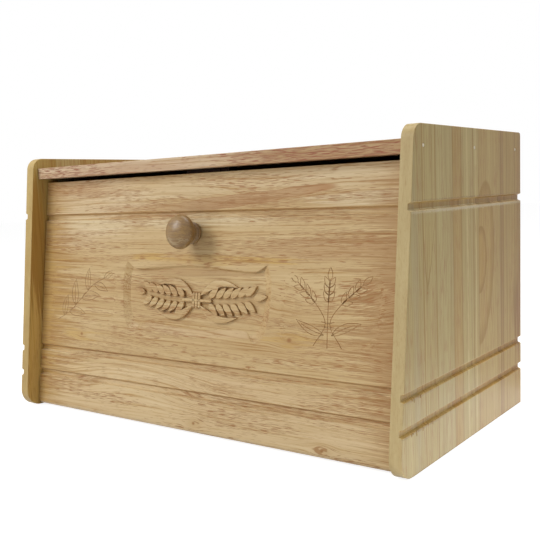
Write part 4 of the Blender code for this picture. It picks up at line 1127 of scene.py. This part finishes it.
def make_door_wood(colours):
    """One board with a brown tongue by its upper edge, small knots and gathered pores."""
    cream, pink = (0.68, 0.54, 0.32), (0.46, 0.280, 0.126)
    ochre, brown = (0.56, 0.36, 0.11), (0.40, 0.235, 0.095)
    return wood(
        "door_wood",
        "door",
        colours.door_light,
        colours.door_dark,
        colours.door_pores,
        swells=(
            ((0.065, 0.1850), (0.110, 0.018), 0.0050),
            ((-0.150, 0.203), (0.070, 0.015), 0.0050),
            ((-0.060, 0.040), (0.110, 0.026), -0.0080),
            ((0.130, 0.105), (0.090, 0.026), 0.0080),
        ),
        knots=(
            ((-0.132, 0.070), 0.009),
            ((0.098, 0.082), 0.011),
            ((0.062, 0.058), 0.005),
            ((0.008, 0.008), 0.008),
            ((0.131, 0.006), 0.008),
        ),
        tongues=(
            ((0.138, 0.1945), (0.250, 0.0064), 5.0, 3.5, pink, 0.9, (0.40, 0.200, 0.070), 0.75),
            ((0.090, 0.1890), (0.120, 0.0034), 5.5, 3.0, (0.42, 0.235, 0.095), 0.5, brown, 0.45),
        ),
        tints=(
            ((0.0, 0.018), (0.26, 0.045), 0, (0.71, 0.54, 0.310), 0.6),
            ((-0.150, 0.185), (0.11, 0.045), 0, (0.68, 0.53, 0.330), 0.6),
            ((-0.060, 0.1705), (0.17, 0.0070), 0, cream, 0.8),
            ((0.160, 0.203), (0.090, 0.011), 6, (0.70, 0.57, 0.35), 0.45),
            ((0.160, 0.1850), (0.060, 0.0080), 4, (0.69, 0.565, 0.355), 0.55),
            ((0.020, 0.1985), (0.170, 0.010), 3, (0.69, 0.555, 0.335), 0.45),
            ((-0.143, 0.202), (0.060, 0.0095), -3, pink, 0.6),
            ((-0.049, 0.141), (0.030, 0.0035), 0, ochre, 0.8),
            ((0.012, 0.140), (0.085, 0.0045), 0, ochre, 0.45),
            ((0.070, 0.141), (0.030, 0.0035), 0, ochre, 0.8),
            # Painted shade under the sunk panel's head wall
            ((-0.007, 0.130), (0.078, 0.0055), 0, brown, 0.5),
            ((-0.132, 0.069), (0.022, 0.0060), 0, ochre, 0.7),
            ((0.098, 0.082), (0.018, 0.0090), 0, ochre, 0.6),
            # Darker brown at both ends, partly painted shade where the sides stand beside the door
            ((0.205, 0.110), (0.060, 0.150), 0, brown, 0.75),
            ((-0.200, 0.100), (0.060, 0.170), 0, (0.42, 0.245, 0.075), 0.75),
            ((-0.192, 0.100), (0.018, 0.150), 0, ochre, 0.5),
            ((0.120, 0.150), (0.075, 0.0110), 2, pink, 0.5),
        ),
        fleck_spots=(
            ((-0.126, 0.149), (0.060, 0.0080)),
            ((0.058, 0.152), (0.050, 0.0060)),
            ((0.138, 0.157), (0.065, 0.0130)),
            ((-0.143, 0.202), (0.050, 0.0070)),
            ((0.060, 0.1845), (0.080, 0.0075)),
        ),
    )


def make_shade_and_highlight_wood(name, colours, stain):
    """The door's wood without figure, its colours scaled by a stain: painted shade on carved walls, groove
    flanks and cut lines, and a painted highlight on the grooves' lower lips.
    """
    return wood(
        name,
        "door",
        [light * share for light, share in zip(colours.door_light, stain)],
        [dark * share for dark, share in zip(colours.door_dark, stain)],
        colours.door_pores,
        ring_share=0.1,
    )


# What each finish of a side keeps of the face's colour, by its index: the face itself, a groove's bottom,
# the top groove's lower lip and flank, pale from worn, torn fibres and lighter as painted light, the narrow
# front edge, the other grooves' lower lips and flanks, lighter as painted light, and the torn fibres
SIDE_STAINS = (
    (1, 1, 1),
    (0.97, 0.83, 0.58),
    (1.70, 1.85, 2.60),
    (1.17, 1.20, 1.52),
    (1.46, 1.38, 1.30),
    (0.95, 0.74, 0.40),
)
IN_GROOVE, WORN_AND_LIT_LIP, FRONT_EDGE, PAINTED_LIGHT_LIP, TORN = range(1, 6)

# The figure of each side: upright staves glued edge to edge, some with an arched figure
SEAM = (0.88, 0.82, 0.74)
FIGURE_LINE = (0.28, 0.155, 0.030)
FIGURE_FILL = (0.43, 0.275, 0.075)
RIGHT_STAVES = (
    (-0.116, (0.99, 1.01, 0.97)),
    (-0.0765, (0.84, 0.74, 0.56)),
    (-0.0748, (1.07, 1.10, 1.08)),
    (-0.0731, (0.90, 0.84, 0.70)),
    (-0.0722, (1.01, 1.03, 0.98)),
    (-0.0562, (0.86, 0.78, 0.62)),
    (-0.0548, (1.03, 1.08, 1.10)),
    (-0.0280, (0.80, 0.69, 0.50)),
    (-0.0269, (1.02, 0.95, 0.78)),
    (-0.0130, (0.84, 0.73, 0.54)),
    (-0.0112, (1.05, 1.08, 1.04)),
    (-0.0028, (1.20, 1.28, 1.40)),
    (-0.0008, (1.03, 1.05, 1.00)),
    (0.0088, (0.84, 0.75, 0.57)),
    (0.0104, (1.04, 1.05, 1.00)),
    (0.0130, (1.20, 1.28, 1.42)),
    (0.0152, (1.02, 1.00, 0.92)),
    (0.0196, (0.82, 0.71, 0.54)),
    (0.0206, (1.02, 0.96, 0.84)),
    (0.0570, (1.00, 0.94, 0.80)),
    (0.0652, (0.80, 0.68, 0.49)),
    (0.0674, (0.97, 0.90, 0.74)),
    (0.0700, (0.82, 0.70, 0.52)),
    (0.0718, (0.98, 0.91, 0.76)),
    (0.0788, (0.86, 0.75, 0.58)),
    (0.0802, (0.97, 0.89, 0.74)),
    (0.0976, (0.80, 0.68, 0.49)),
    (0.0994, (0.95, 0.85, 0.70)),
    (0.116, SEAM),
)
LEFT_STAVES = (
    (-0.116, (1.00, 0.94, 0.72)),
    (-0.0602, SEAM),
    (-0.0598, (1.10, 1.16, 1.24)),
    (-0.0300, (0.98, 0.90, 0.80)),
    (0.0198, SEAM),
    (0.0202, (1.03, 1.00, 0.94)),
    (0.0700, (0.96, 0.90, 0.84)),
    (0.116, SEAM),
)
SIDE_STAVES = {"right": RIGHT_STAVES, "left": LEFT_STAVES}
SIDE_SWELLS = {
    "right": (((0.130, 0.040), (0.090, 0.024), 0.005),),
    "left": (((0.100, 0.040), (0.080, 0.020), 0.007),),
}
SIDE_FLECKS = {
    "right": (
        ((0.116, -0.0195), (0.30, 0.0100)),
        ((0.116, 0.0690), (0.30, 0.0050)),
        ((0.018, -0.0400), (0.020, 0.0120)),
    ),
    "left": (((0.116, -0.0450), (0.30, 0.0120)),),
}
# Figures of each side; the left side's tints are painted shade and light
SIDE_FIGURES_AND_PAINTED_LIGHT = {
    "right": {
        "knots": (((0.120, -0.0700), 0.0060),),
        "tongues": (((0.1195, -0.0700), (0.062, 0.0125), 184, 1.3, FIGURE_FILL, 0.15, FIGURE_LINE, 0.75),),
        "lenses": (
            ((0.1305, 0.0285), (0.0660, 0.0232), 6.6, 0.0202, FIGURE_FILL, 0.40, FIGURE_LINE, 0.50),
            ((0.1335, 0.0232), (0.0270, 0.0132), 4, 0.0202, FIGURE_FILL, 0.55, FIGURE_LINE, 0.60),
        ),
        "tints": (
            ((0.116, 0.0060), (0.18, 0.0030), 0, (0.39, 0.265, 0.120), 0.40),
            ((0.100, -0.0880), (0.18, 0.0060), 0, (0.42, 0.33, 0.180), 0.4),
            ((0.116, 0.0690), (0.30, 0.0060), 0, (0.34, 0.205, 0.085), 0.40),
            ((0.086, 0.1150), (0.032, 0.0280), 0, (0.28, 0.145, 0.040), 0.90),
            ((0.160, 0.1100), (0.12, 0.0080), 0, (0.34, 0.215, 0.095), 0.5),
            ((0.165, -0.0874), (0.0009, 0.0008), 0, (0.10, 0.065, 0.035), 0.9),
        ),
    },
    "left": {
        "tongues": (
            ((0.1700, 0.0420), (0.130, 0.0110), 0, 2.0, (0.37, 0.225, 0.100), 0.6, (0.24, 0.130, 0.055), 0.8),
        ),
        "tints": (
            # Darker high at the front as painted shade under the top board, lighter low at the front as
            # painted light from the floor
            ((0.150, -0.0900), (0.11, 0.018), 0, (0.40, 0.225, 0.060), 0.75),
            ((0.030, -0.0960), (0.08, 0.026), 0, (0.64, 0.450, 0.180), 0.80),
        ),
    },
}
# Lines along the grooves' lips: centre, radii, colour, share. The pale line under the top groove is rubbed
# wear; the dark lines above the top groove and under the two lower ones are painted shade.
LOW_GROOVE, MIDDLE_GROOVE, TOP_GROOVE = GROOVE_HEIGHTS
SIDE_WEAR_AND_SHADE_LINES = (
    ((TOP_GROOVE - 0.0039, 0.010), (0.0016, 0.160), (0.60, 0.50, 0.33), 0.75),
    ((TOP_GROOVE + 0.0034, 0.010), (0.0007, 0.160), (0.20, 0.11, 0.045), 0.60),
    ((MIDDLE_GROOVE - 0.0036, -0.085), (0.0009, 0.050), (0.27, 0.15, 0.045), 0.50),
    ((LOW_GROOVE - 0.0036, -0.080), (0.0010, 0.060), (0.27, 0.15, 0.045), 0.60),
)
# The grain of a side's faces, and the finer one of its front edge, which has no figure
FACE_GRAIN = {
    "pore_share": 0.46, "pore_shape": (70, 1200, 1200), "streak_share": 0.58, "streak_shape": (10, 760, 760)
}
EDGE_GRAIN = {
    "pore_share": 0.10, "pore_shape": (95, 2500, 2500), "streak_share": 0.35, "streak_shape": (12, 1400, 1400)
}


def make_side_wood(side, colours, index):
    """The wood of one side in one of its finishes."""
    stain = SIDE_STAINS[index]
    grain = EDGE_GRAIN if index == FRONT_EDGE else {**FACE_GRAIN, **SIDE_FIGURES_AND_PAINTED_LIGHT[side], "wear_and_shade_lines": SIDE_WEAR_AND_SHADE_LINES}
    return wood(
        f"side_wood_{side}",
        "upright",
        [light * share for light, share in zip(colours.side_light, stain)],
        [dark * share for dark, share in zip(colours.side_dark, stain)],
        colours.door_pores,
        wander=0.012,
        ring_gap=0.0075,
        ring_share=0.14,
        staves=SIDE_STAVES[side],
        swells=SIDE_SWELLS[side],
        fleck_spots=SIDE_FLECKS[side],
        roughness=0.42,
        gloss=0.20,
        **grain,
    )


# A side's front stays this far behind the CAD's, whose rounding is coarser
INSET = 0.00003
CORNER_SEGMENTS = 14
# Half a groove's width and its depth, each with a little more, within which edges are eased less
EASED_HALF = 0.0031
EASED_DEPTH = 0.0026
# Tears under the two lower grooves: place across, length and slant
TEARS = (
    (
        (-0.0980, 0.0022, 0.0004),
        (-0.0955, 0.0012, -0.0003),
        (-0.0905, 0.0034, 0.0004),
        (-0.0870, 0.0012, 0.0002),
        (-0.0805, 0.0026, -0.0003),
        (-0.0720, 0.0014, 0.0002),
        (-0.0655, 0.0022, 0.0003),
    ),
    (
        (-0.0960, 0.0014, 0.0002),
        (-0.0930, 0.0028, -0.0002),
        (-0.0865, 0.0012, 0.0),
        (-0.0835, 0.0020, -0.0003),
    ),
)
TEAR_RADIUS = 0.00055
TEAR_RISE = 0.0012


class BREADBIN_OT_sides(bpy.types.Operator):
    """Shape the two sides and cut their grooves and housings"""

    bl_idname = "bread_bin.sides"
    bl_label = "Sides"

    def execute(self, context):
        sizes = context.scene.bread_bin_boards
        colours = context.scene.bread_bin_colours
        for hand, side in ((-1, "left"), (1, "right")):
            finishes = [make_side_wood(side, colours, index) for index in range(len(SIDE_STAINS))]
            self.make_side(f"side_board_{side}", side, hand, sizes, finishes)
        return {"FINISHED"}

    def make_side(self, name, side, hand, sizes, finishes):
        node = f"side_panel_{side}"
        _, high = CAD_BOX
        lean = math.atan2(sizes.side_setback, high.z)
        foot_reach = sizes.side_foot_radius / math.tan((math.pi / 2 - lean) / 2)
        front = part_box(node)[0].y - (foot_reach - sizes.side_foot_radius) + INSET
        top_front = front + sizes.side_setback
        outer = hand * high.x
        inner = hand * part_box("side_panel_right")[0].x
        board = new_block(name, (inner, front, 0), (outer, high.y, high.z))
        bpy.ops.object.mode_set(mode="EDIT")
        choose(board, "VERT", lambda vert: near(vert.co.z, high.z) and near(vert.co.y, front))
        bpy.ops.transform.translate(value=(0, sizes.side_setback, 0))
        for y, z, radius, angle in (
            (front, 0, sizes.side_foot_radius, math.pi / 2 - lean),
            (top_front, high.z, sizes.side_top_radius, math.pi / 2 + lean),
            (high.y, high.z, sizes.side_back_radius, math.pi / 2),
        ):
            round_corner(
                board,
                lambda edge: all(near(vert.co.y, y) and near(vert.co.z, z) for vert in edge.verts),
                radius / math.tan(angle / 2),
                CORNER_SEGMENTS,
            )
        for height in GROOVE_HEIGHTS:
            place = (2, lambda point: near(point.x, outer), height)
            sink_groove(board, place, (-hand * sizes.groove_depth, 0, 0), sizes)
        bpy.ops.object.mode_set(mode="OBJECT")
        ease_board(
            board,
            sizes,
            lambda place: any(abs(place.z - height) < EASED_HALF for height in GROOVE_HEIGHTS)
            and abs(place.x - outer) < EASED_DEPTH,
        )
        for finish in finishes:
            board.data.materials.append(finish)
        for tool in self.housings(side, hand, inner, outer):
            tool.data.materials.append(finishes[0])
            cut_away(board, tool)
        tears = self.torn_fibres(hand, outer)
        tears.data.materials.append(finishes[TORN])
        cut_away(board, tears, overlapping=True)
        for face in board.data.polygons:
            if face.material_index != TORN:
                face.material_index = self.finish_at(face, sizes)
        finish_surface(board)
        dress(board, "case", "side_wood", replaces=(node,))

    def finish_at(self, face, sizes):
        """The index of the finish for a face, by where it is and how it faces."""
        deep = CAD_BOX[1].x - abs(face.center.x)
        if face.normal.y < -0.6 and face.center.y < -0.07:
            return FRONT_EDGE
        if not 0.00005 < deep < 0.003 or abs(face.normal.y) >= 0.5:
            return 0
        for height in GROOVE_HEIGHTS:
            rise = face.center.z - height
            if abs(rise) < sizes.groove_mouth / 2 + 0.0006:
                # The upward faces of a groove's lower lip and flank are lightened as painted light, the top
                # groove's also as worn, torn fibres
                if rise < 0 and face.normal.z > 0.2:
                    return WORN_AND_LIT_LIP if height == TOP_GROOVE else PAINTED_LIGHT_LIP
                return IN_GROOVE * int(deep > 0.0007)
        return 0

    def torn_fibres(self, hand, outer):
        """Short tears below the lips of the two lower grooves, near the front."""
        strokes = []
        for height, tears in zip(GROOVE_HEIGHTS, TEARS):
            lip = height - 0.003
            for across, down, slant in tears:
                bend = (across + slant / 2, lip - down / 2)
                strokes.append([(across, lip + TEAR_RISE), bend, (across + slant, lip - down)])
        tears = scribe("torn_fibres", strokes, TEAR_RADIUS, 0.0001)
        tears.data.transform(Matrix(((0, 0, hand, outer), (1, 0, 0, 0), (0, 1, 0, 0), (0, 0, 0, 1))))
        return tears if hand > 0 else face_outward(tears)

    def housings(self, side, hand, inner, outer):
        """What is cut into a side for the base, the back, the hinge pin and the sunk pins."""
        before = inner - hand * CUT_OVERRUN
        for part, past_back in (("base", CUT_OVERRUN), ("back", FIT_GAP)):
            low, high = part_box(f"{part}_board")
            start = (before, low.y - FIT_GAP, low.z - FIT_GAP)
            end = (hand * (high.x + FIT_GAP), high.y + past_back, high.z + FIT_GAP)
            yield new_block(f"{part}_housing", start, end)
        low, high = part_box(f"hinge_pin_{side}")
        end = hand * (max(abs(low.x), abs(high.x)) + FIT_GAP)
        radius = high.z - PIVOT.z + FIT_GAP
        yield new_rod("hinge_hole", (before, PIVOT.y, PIVOT.z), (end, PIVOT.y, PIVOT.z), radius)
        for label in PIN_PLACES:
            place = middle(f"pin_putty_{side}_{label}")
            low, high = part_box(f"top_pin_{side}_{label}")
            reach = hand * (max(abs(low.x), abs(high.x)) - PIN_HEAD_LENGTH)
            for name, start, end, radius in (
                ("pin_head_hole", outer + hand * CUT_OVERRUN, reach, PIN_HEAD_HOLE_RADIUS),
                ("pin_hole", outer, before, PIN_HOLE_RADIUS),
            ):
                yield new_rod(name, (start, place.y, place.z), (end, place.y, place.z), radius, HOLE_SIDES)


class BREADBIN_OT_top(bpy.types.Operator):
    """Shape the top board and drill it for its pins and for the catch's screws"""

    bl_idname = "bread_bin.top"
    bl_label = "Top board"

    def execute(self, context):
        sizes = context.scene.bread_bin_boards
        colours = context.scene.bread_bin_colours
        finish = wood(
            "top_wood",
            "level",
            colours.top_light,
            colours.top_dark,
            (0.31, 0.115, 0.055),
            pore_share=1.0,
            streak_share=0.85,
            fleck_spots=(
                ((0.12, -0.08), (0.16, 0.03)),
                ((-0.14, -0.08), (0.08, 0.02)),
                ((0.0, 0.03), (0.12, 0.03)),
            ),
            # Darker towards the right end of the front edge, as painted shade
            tints=(((0.19, -0.075), (0.18, 0.06), 0, (0.42, 0.25, 0.105), 0.75),),
        )
        low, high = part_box("top_board")
        board = new_block("top_board_eased", low, high)
        weigh_edges(board, lambda edge: 1.0)
        ease(board, sizes.top_ease)
        board.data.materials.append(finish)
        for tool in self.housings(low, high):
            tool.data.materials.append(finish)
            cut_away(board, tool)
        finish_surface(board)
        dress(board, "case", "top_wood", replaces=("top_board",))
        return {"FINISHED"}

    def housings(self, low, high):
        """What is cut into the top board for the back, the sunk pins and the catch's screws."""
        back_low, back_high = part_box("back_board")
        yield new_block(
            "back_groove",
            (low.x - CUT_OVERRUN, back_low.y - FIT_GAP, low.z - CUT_OVERRUN),
            (high.x + CUT_OVERRUN, back_high.y + FIT_GAP, back_high.z + FIT_GAP),
        )
        for side, hand in (("left", -1), ("right", 1)):
            for label in PIN_PLACES:
                place = middle(f"top_pin_{side}_{label}")
                pin_low, pin_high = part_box(f"top_pin_{side}_{label}")
                ends = high.x + CUT_OVERRUN, min(abs(pin_low.x), abs(pin_high.x)) - FIT_GAP
                start, end = ((hand * across, place.y, place.z) for across in ends)
                yield new_rod("pin_hole", start, end, PIN_HOLE_RADIUS, HOLE_SIDES)
            _, screw_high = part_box(f"catch_screw_{side}")
            place = middle(f"catch_screw_{side}")
            start, end = ((place.x, place.y, z) for z in (low.z - CUT_OVERRUN, screw_high.z + FIT_GAP))
            yield new_rod("screw_hole", start, end, CATCH_SCREW_HOLE_RADIUS, HOLE_SIDES)


class BREADBIN_OT_knob(bpy.types.Operator):
    """Turn the knob"""

    bl_idname = "bread_bin.knob"
    bl_label = "Knob"

    def execute(self, context):
        colours = context.scene.bread_bin_colours
        finish = wood(
            "knob_wood",
            "door",
            colours.knob_light,
            colours.knob_dark,
            (0.16, 0.085, 0.035),
            ring_gap=0.0045,
            ring_share=0.40,
            pore_share=0.45,
            streak_share=0.60,
            tints=(
                ((-0.008, KNOB_RISE - 0.010), (0.012, 0.008), 0, (0.37, 0.265, 0.125), 0.7),
                ((0.008, KNOB_RISE + 0.002), (0.010, 0.012), 0, (0.22, 0.125, 0.050), 0.6),
            ),
            roughness=0.33,
            gloss=0.50,
        )
        place = BENCH_TO_DOOR @ Matrix.Translation((0, KNOB_RISE, FIT_GAP))
        knob = new_turning("turned_knob", knob_stations(), 72, place)
        finish_surface(knob, 40)
        dress(knob, "door", "knob_wood", finish, replaces=("knob",))
        return {"FINISHED"}


def knob_stations(steps=12):
    """The knob's section from its screw hole out to its foot, neck and head."""
    base, base_height, neck, neck_rise = 0.0090, 0.0036, 0.0070, 0.0080
    head, head_rise, crown, undercut = 0.0138, 0.0160, 0.0083, 0.0072
    tip, hole, hole_depth, hole_end = 0.0002, 0.0023, 0.0093, 0.0123
    rim = base_height / 2
    half = math.pi / 2
    stations = [(tip, hole_end), (hole, hole_depth), (hole, 0.0), (base - rim, 0.0)]
    for step in range(1, steps + 1):
        turn = math.pi * step / steps
        stations.append((base - rim + rim * math.sin(turn), rim - rim * math.cos(turn)))
    for step in range(steps + 1):
        turn = half * (1 - step / steps)
        width = neck + (base - neck) * (1 - math.cos(turn))
        stations.append((width, neck_rise - (neck_rise - base_height) * math.sin(turn)))
    low = math.acos(neck / head)
    for step in range(steps - 1, -1, -1):
        turn = low * step / steps
        stations.append((head * math.cos(turn), head_rise - undercut * math.sin(turn)))
    for step in range(1, steps + 1):
        turn = half * step / steps
        stations.append((max(head * math.cos(turn), tip), head_rise + crown * math.sin(turn)))
    return stations


class BREADBIN_OT_finishes(bpy.types.Operator):
    """Give the boards, plates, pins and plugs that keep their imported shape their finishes"""

    bl_idname = "bread_bin.finishes"
    bl_label = "Finishes"

    def execute(self, context):
        colours = context.scene.bread_bin_colours
        plain = colours.door_light, colours.door_dark, colours.door_pores
        zinc = plain_metal("zinc_plate", colours.zinc, 0.34)
        steel = plain_metal("drawn_steel", (0.55, 0.55, 0.54), 0.28)
        finishes = {
            "base_board": wood("base_wood", "level", *plain),
            "back_board": wood("back_ply", "rear", *plain),
            "catch_housing": moulded_plastic("catch_plastic", colours.plastic),
            "catch_magnet": ferrite("magnet_ferrite"),
            "top_pin": steel,
            "hinge_pin": steel,
            "pin_putty": filler("pin_putty", colours.putty),
            "catch_pole": zinc,
            "strike_plate": zinc,
            "knob_washer": zinc,
        }
        for node in frame["nodes"]:
            for start, finish in finishes.items():
                if node.startswith(start):
                    repaint(node, finish)
        return {"FINISHED"}


# Screws: their body, the way their heads face, head radius and height (0 is countersunk), shank radius, tip
CATCH_SCREW = ("case", Vector((0, 0, -1)), 0.0028, 0.0018, 0.0015, 0.002)
STRIKE_SCREW = ("door", -DOOR_OUT, 0.0024, 0, 0.0012, 0.002)
SCREWS = {
    "catch_screw_left": CATCH_SCREW,
    "catch_screw_right": CATCH_SCREW,
    "strike_screw_left": STRIKE_SCREW,
    "strike_screw_right": STRIKE_SCREW,
    "knob_screw": ("door", -DOOR_OUT, 0.0040, 0.0024, 0.0020, 0.003),
}
# The crossed recess, in shares of the head's radius: half length, half width and depth
RECESS = (0.58, 0.115, 0.42)


class BREADBIN_OT_screws(bpy.types.Operator):
    """Turn the screws and cut a crossed recess into each head"""

    bl_idname = "bread_bin.screws"
    bl_label = "Screws"

    def execute(self, context):
        finish = plain_metal("screw_zinc", context.scene.bread_bin_colours.zinc, 0.32)
        for node, (body, facing, *shape) in SCREWS.items():
            packed = frame["nodes"][node]
            places = [packed.matrix_world @ vert.co for vert in packed.data.vertices]
            reaches = [place.dot(facing) for place in places]
            crest = [place for place, reach in zip(places, reaches) if near(reach, max(reaches))]
            crown = sum(crest, Vector()) / len(crest)
            screw = self.make_screw(f"{node}_crossed", max(reaches) - min(reaches), *shape)
            screw.data.materials.append(finish)
            finish_surface(screw)
            turn = facing.to_track_quat("Z", "Y").to_matrix().to_4x4()
            screw.data.transform(Matrix.Translation(crown) @ turn)
            dress(screw, body, "screw_steel", replaces=(node,))
        return {"FINISHED"}

    def make_screw(self, name, length, head_radius, head_height, shank_radius, tip, steps=8):
        """A screw that points down, with the top of its head at height zero."""
        stations = [(0.0004, -length), (shank_radius, tip - length)]
        if head_height:
            stations += [(shank_radius, -head_height), (head_radius, -head_height)]
            for step in range(1, steps):
                turn = math.pi / 2 * step / steps
                stations.append((head_radius * math.cos(turn), head_height * (math.sin(turn) - 1)))
            stations.append((head_radius * 0.05, 0))
        else:
            stations += [(shank_radius, shank_radius - head_radius), (head_radius, 0)]
        screw = new_turning(name, stations)
        half, width, depth = (head_radius * share for share in RECESS)
        for across, up in ((half, width), (width, half)):
            cut_away(screw, new_block("crossed_recess", (-across, -up, -depth), (across, up, CUT_OVERRUN)))
        return screw


def add_floor(settings):
    """A pale floor that the camera sees as white but for the object's shadow."""
    bpy.ops.object.select_all(action="DESELECT")
    bpy.ops.mesh.primitive_plane_add(size=settings.floor_size, location=(0, 0, -0.0002))
    floor = settle(bpy.context.object)
    floor.name = "floor"
    recipe = Recipe("floor_paint")
    recipe.surface(Base_Color=(0.8, 0.8, 0.8, 1), Roughness=0.9, Specular_IOR_Level=0.0)
    shaded = recipe.node("ShaderNodeBsdfDiffuse", {"Color": (0.42, 0.42, 0.42, 1)})
    glow = recipe.node("ShaderNodeEmission", {"Color": (1, 1, 1, 1), "Strength": 0.86})
    seen = recipe.node("ShaderNodeAddShader", {0: shaded, 1: glow})
    mix = recipe.node("ShaderNodeMixShader", {0: looked_at(recipe), 1: recipe.shader.outputs[0], 2: seen})
    recipe.feed(recipe.tree.nodes["Material Output"].inputs[0], mix)
    floor.data.materials.append(recipe.material)


def looked_at(recipe):
    """1 for rays from the camera, from glossy faces and through clear ones."""
    path = recipe.tree.nodes.new("ShaderNodeLightPath")
    shown = recipe.math("MAXIMUM", path.outputs["Is Camera Ray"], path.outputs["Is Glossy Ray"])
    return recipe.math("MAXIMUM", shown, path.outputs["Is Transmission Ray"])


def light_world(settings):
    """White to look at, and an even light of plain strength to be lit by."""
    world = bpy.data.worlds.new("studio")
    bpy.context.scene.world = world
    world.use_nodes = True
    recipe = Recipe.__new__(Recipe)
    recipe.tree = world.node_tree
    background = world.node_tree.nodes["Background"]
    recipe.feed(background.inputs["Color"], (1, 1, 1, 1))
    inputs = {"Value": looked_at(recipe), "To Min": settings.ambient, "To Max": 1.0}
    recipe.feed(background.inputs["Strength"], recipe.node("ShaderNodeMapRange", inputs))


def add_lamp(name, place, aim, size, power):
    """A soft square lamp that looks at a point."""
    bpy.ops.object.select_all(action="DESELECT")
    turn = (Vector(aim) - Vector(place)).to_track_quat("-Z", "Y").to_euler()
    bpy.ops.object.light_add(type="AREA", location=place, rotation=turn)
    lamp = bpy.context.object
    lamp.name = name
    lamp.data.shape = "RECTANGLE"
    lamp.data.size, lamp.data.size_y = size
    lamp.data.energy = power
    lamp.visible_camera = False
    return lamp


def add_camera(settings):
    """The camera of the photograph."""
    bpy.ops.object.select_all(action="DESELECT")
    turn = (
        Matrix.Rotation(settings.camera_yaw, 3, "Z")
        @ Matrix.Rotation(math.pi / 2 + settings.camera_pitch, 3, "X")
        @ Matrix.Rotation(settings.camera_roll, 3, "Z")
    )
    bpy.ops.object.camera_add(location=settings.camera_place, rotation=turn.to_euler())
    camera = bpy.context.object
    camera.name = "photo_camera"
    camera.data.lens = settings.lens
    camera.data.shift_y = settings.shift
    camera.data.clip_start = 0.01
    bpy.context.scene.camera = camera


class BREADBIN_OT_stage(bpy.types.Operator):
    """Set the camera, the floor and the lamps"""

    bl_idname = "bread_bin.stage"
    bl_label = "Stage"

    def execute(self, context):
        settings = context.scene.bread_bin_stage
        context.scene.view_settings.view_transform = "Standard"
        add_camera(settings)
        add_floor(settings)
        light_world(settings)
        add_lamp("key_lamp", (-0.95, -1.30, 1.20), (0, 0, 0.1), (0.9, 0.9), settings.key_power)
        add_lamp("top_lamp", (0.20, 0.30, 1.4), (0.10, 0.05, 0.1), (1.1, 0.9), settings.top_power)
        place, aim = (0.2505, -0.10, 0.0001), (0.2505, -0.10, 1.0)
        low_lamp = add_lamp("low_lamp", place, aim, (0.10, 0.52), settings.fill_power)
        low_lamp.data.color = (0.93, 1.0, 1.16)
        return {"FINISHED"}


class BREADBIN_PT_bread_bin(bpy.types.Panel):
    """Lists the steps that make the bread bin, and the sizes and colours that they use"""

    bl_label = "Bread bin"
    bl_idname = "BREADBIN_PT_bread_bin"
    bl_space_type = "VIEW_3D"
    bl_region_type = "UI"
    bl_category = "Bread bin"

    def draw(self, context):
        for settings in (
            context.scene.bread_bin_boards,
            context.scene.bread_bin_carving,
            context.scene.bread_bin_colours,
            context.scene.bread_bin_stage,
        ):
            box = self.layout.box()
            for name in settings.__annotations__:
                box.prop(settings, name)
        for operator in OPERATORS:
            self.layout.operator(operator.bl_idname)


SETTINGS = {
    "bread_bin_boards": BreadBinBoards,
    "bread_bin_carving": BreadBinCarving,
    "bread_bin_colours": BreadBinColours,
    "bread_bin_stage": BreadBinStage,
}
OPERATORS = [
    BREADBIN_OT_sides,
    BREADBIN_OT_top,
    BREADBIN_OT_door,
    BREADBIN_OT_knob,
    BREADBIN_OT_screws,
    BREADBIN_OT_finishes,
    BREADBIN_OT_stage,
]
CLASSES = [*SETTINGS.values(), *OPERATORS, BREADBIN_PT_bread_bin]


def register():
    for made in CLASSES:
        bpy.utils.register_class(made)
    for name, settings in SETTINGS.items():
        setattr(bpy.types.Scene, name, PointerProperty(type=settings))


def unregister():
    for name in SETTINGS:
        delattr(bpy.types.Scene, name)
    for made in reversed(CLASSES):
        bpy.utils.unregister_class(made)


def main():
    register()
    bpy.ops.bread_bin.sides()
    bpy.ops.bread_bin.top()
    bpy.ops.bread_bin.door()
    bpy.ops.bread_bin.knob()
    bpy.ops.bread_bin.screws()
    bpy.ops.bread_bin.finishes()
    bpy.ops.bread_bin.stage()


if __name__ == "__main__":
    main()
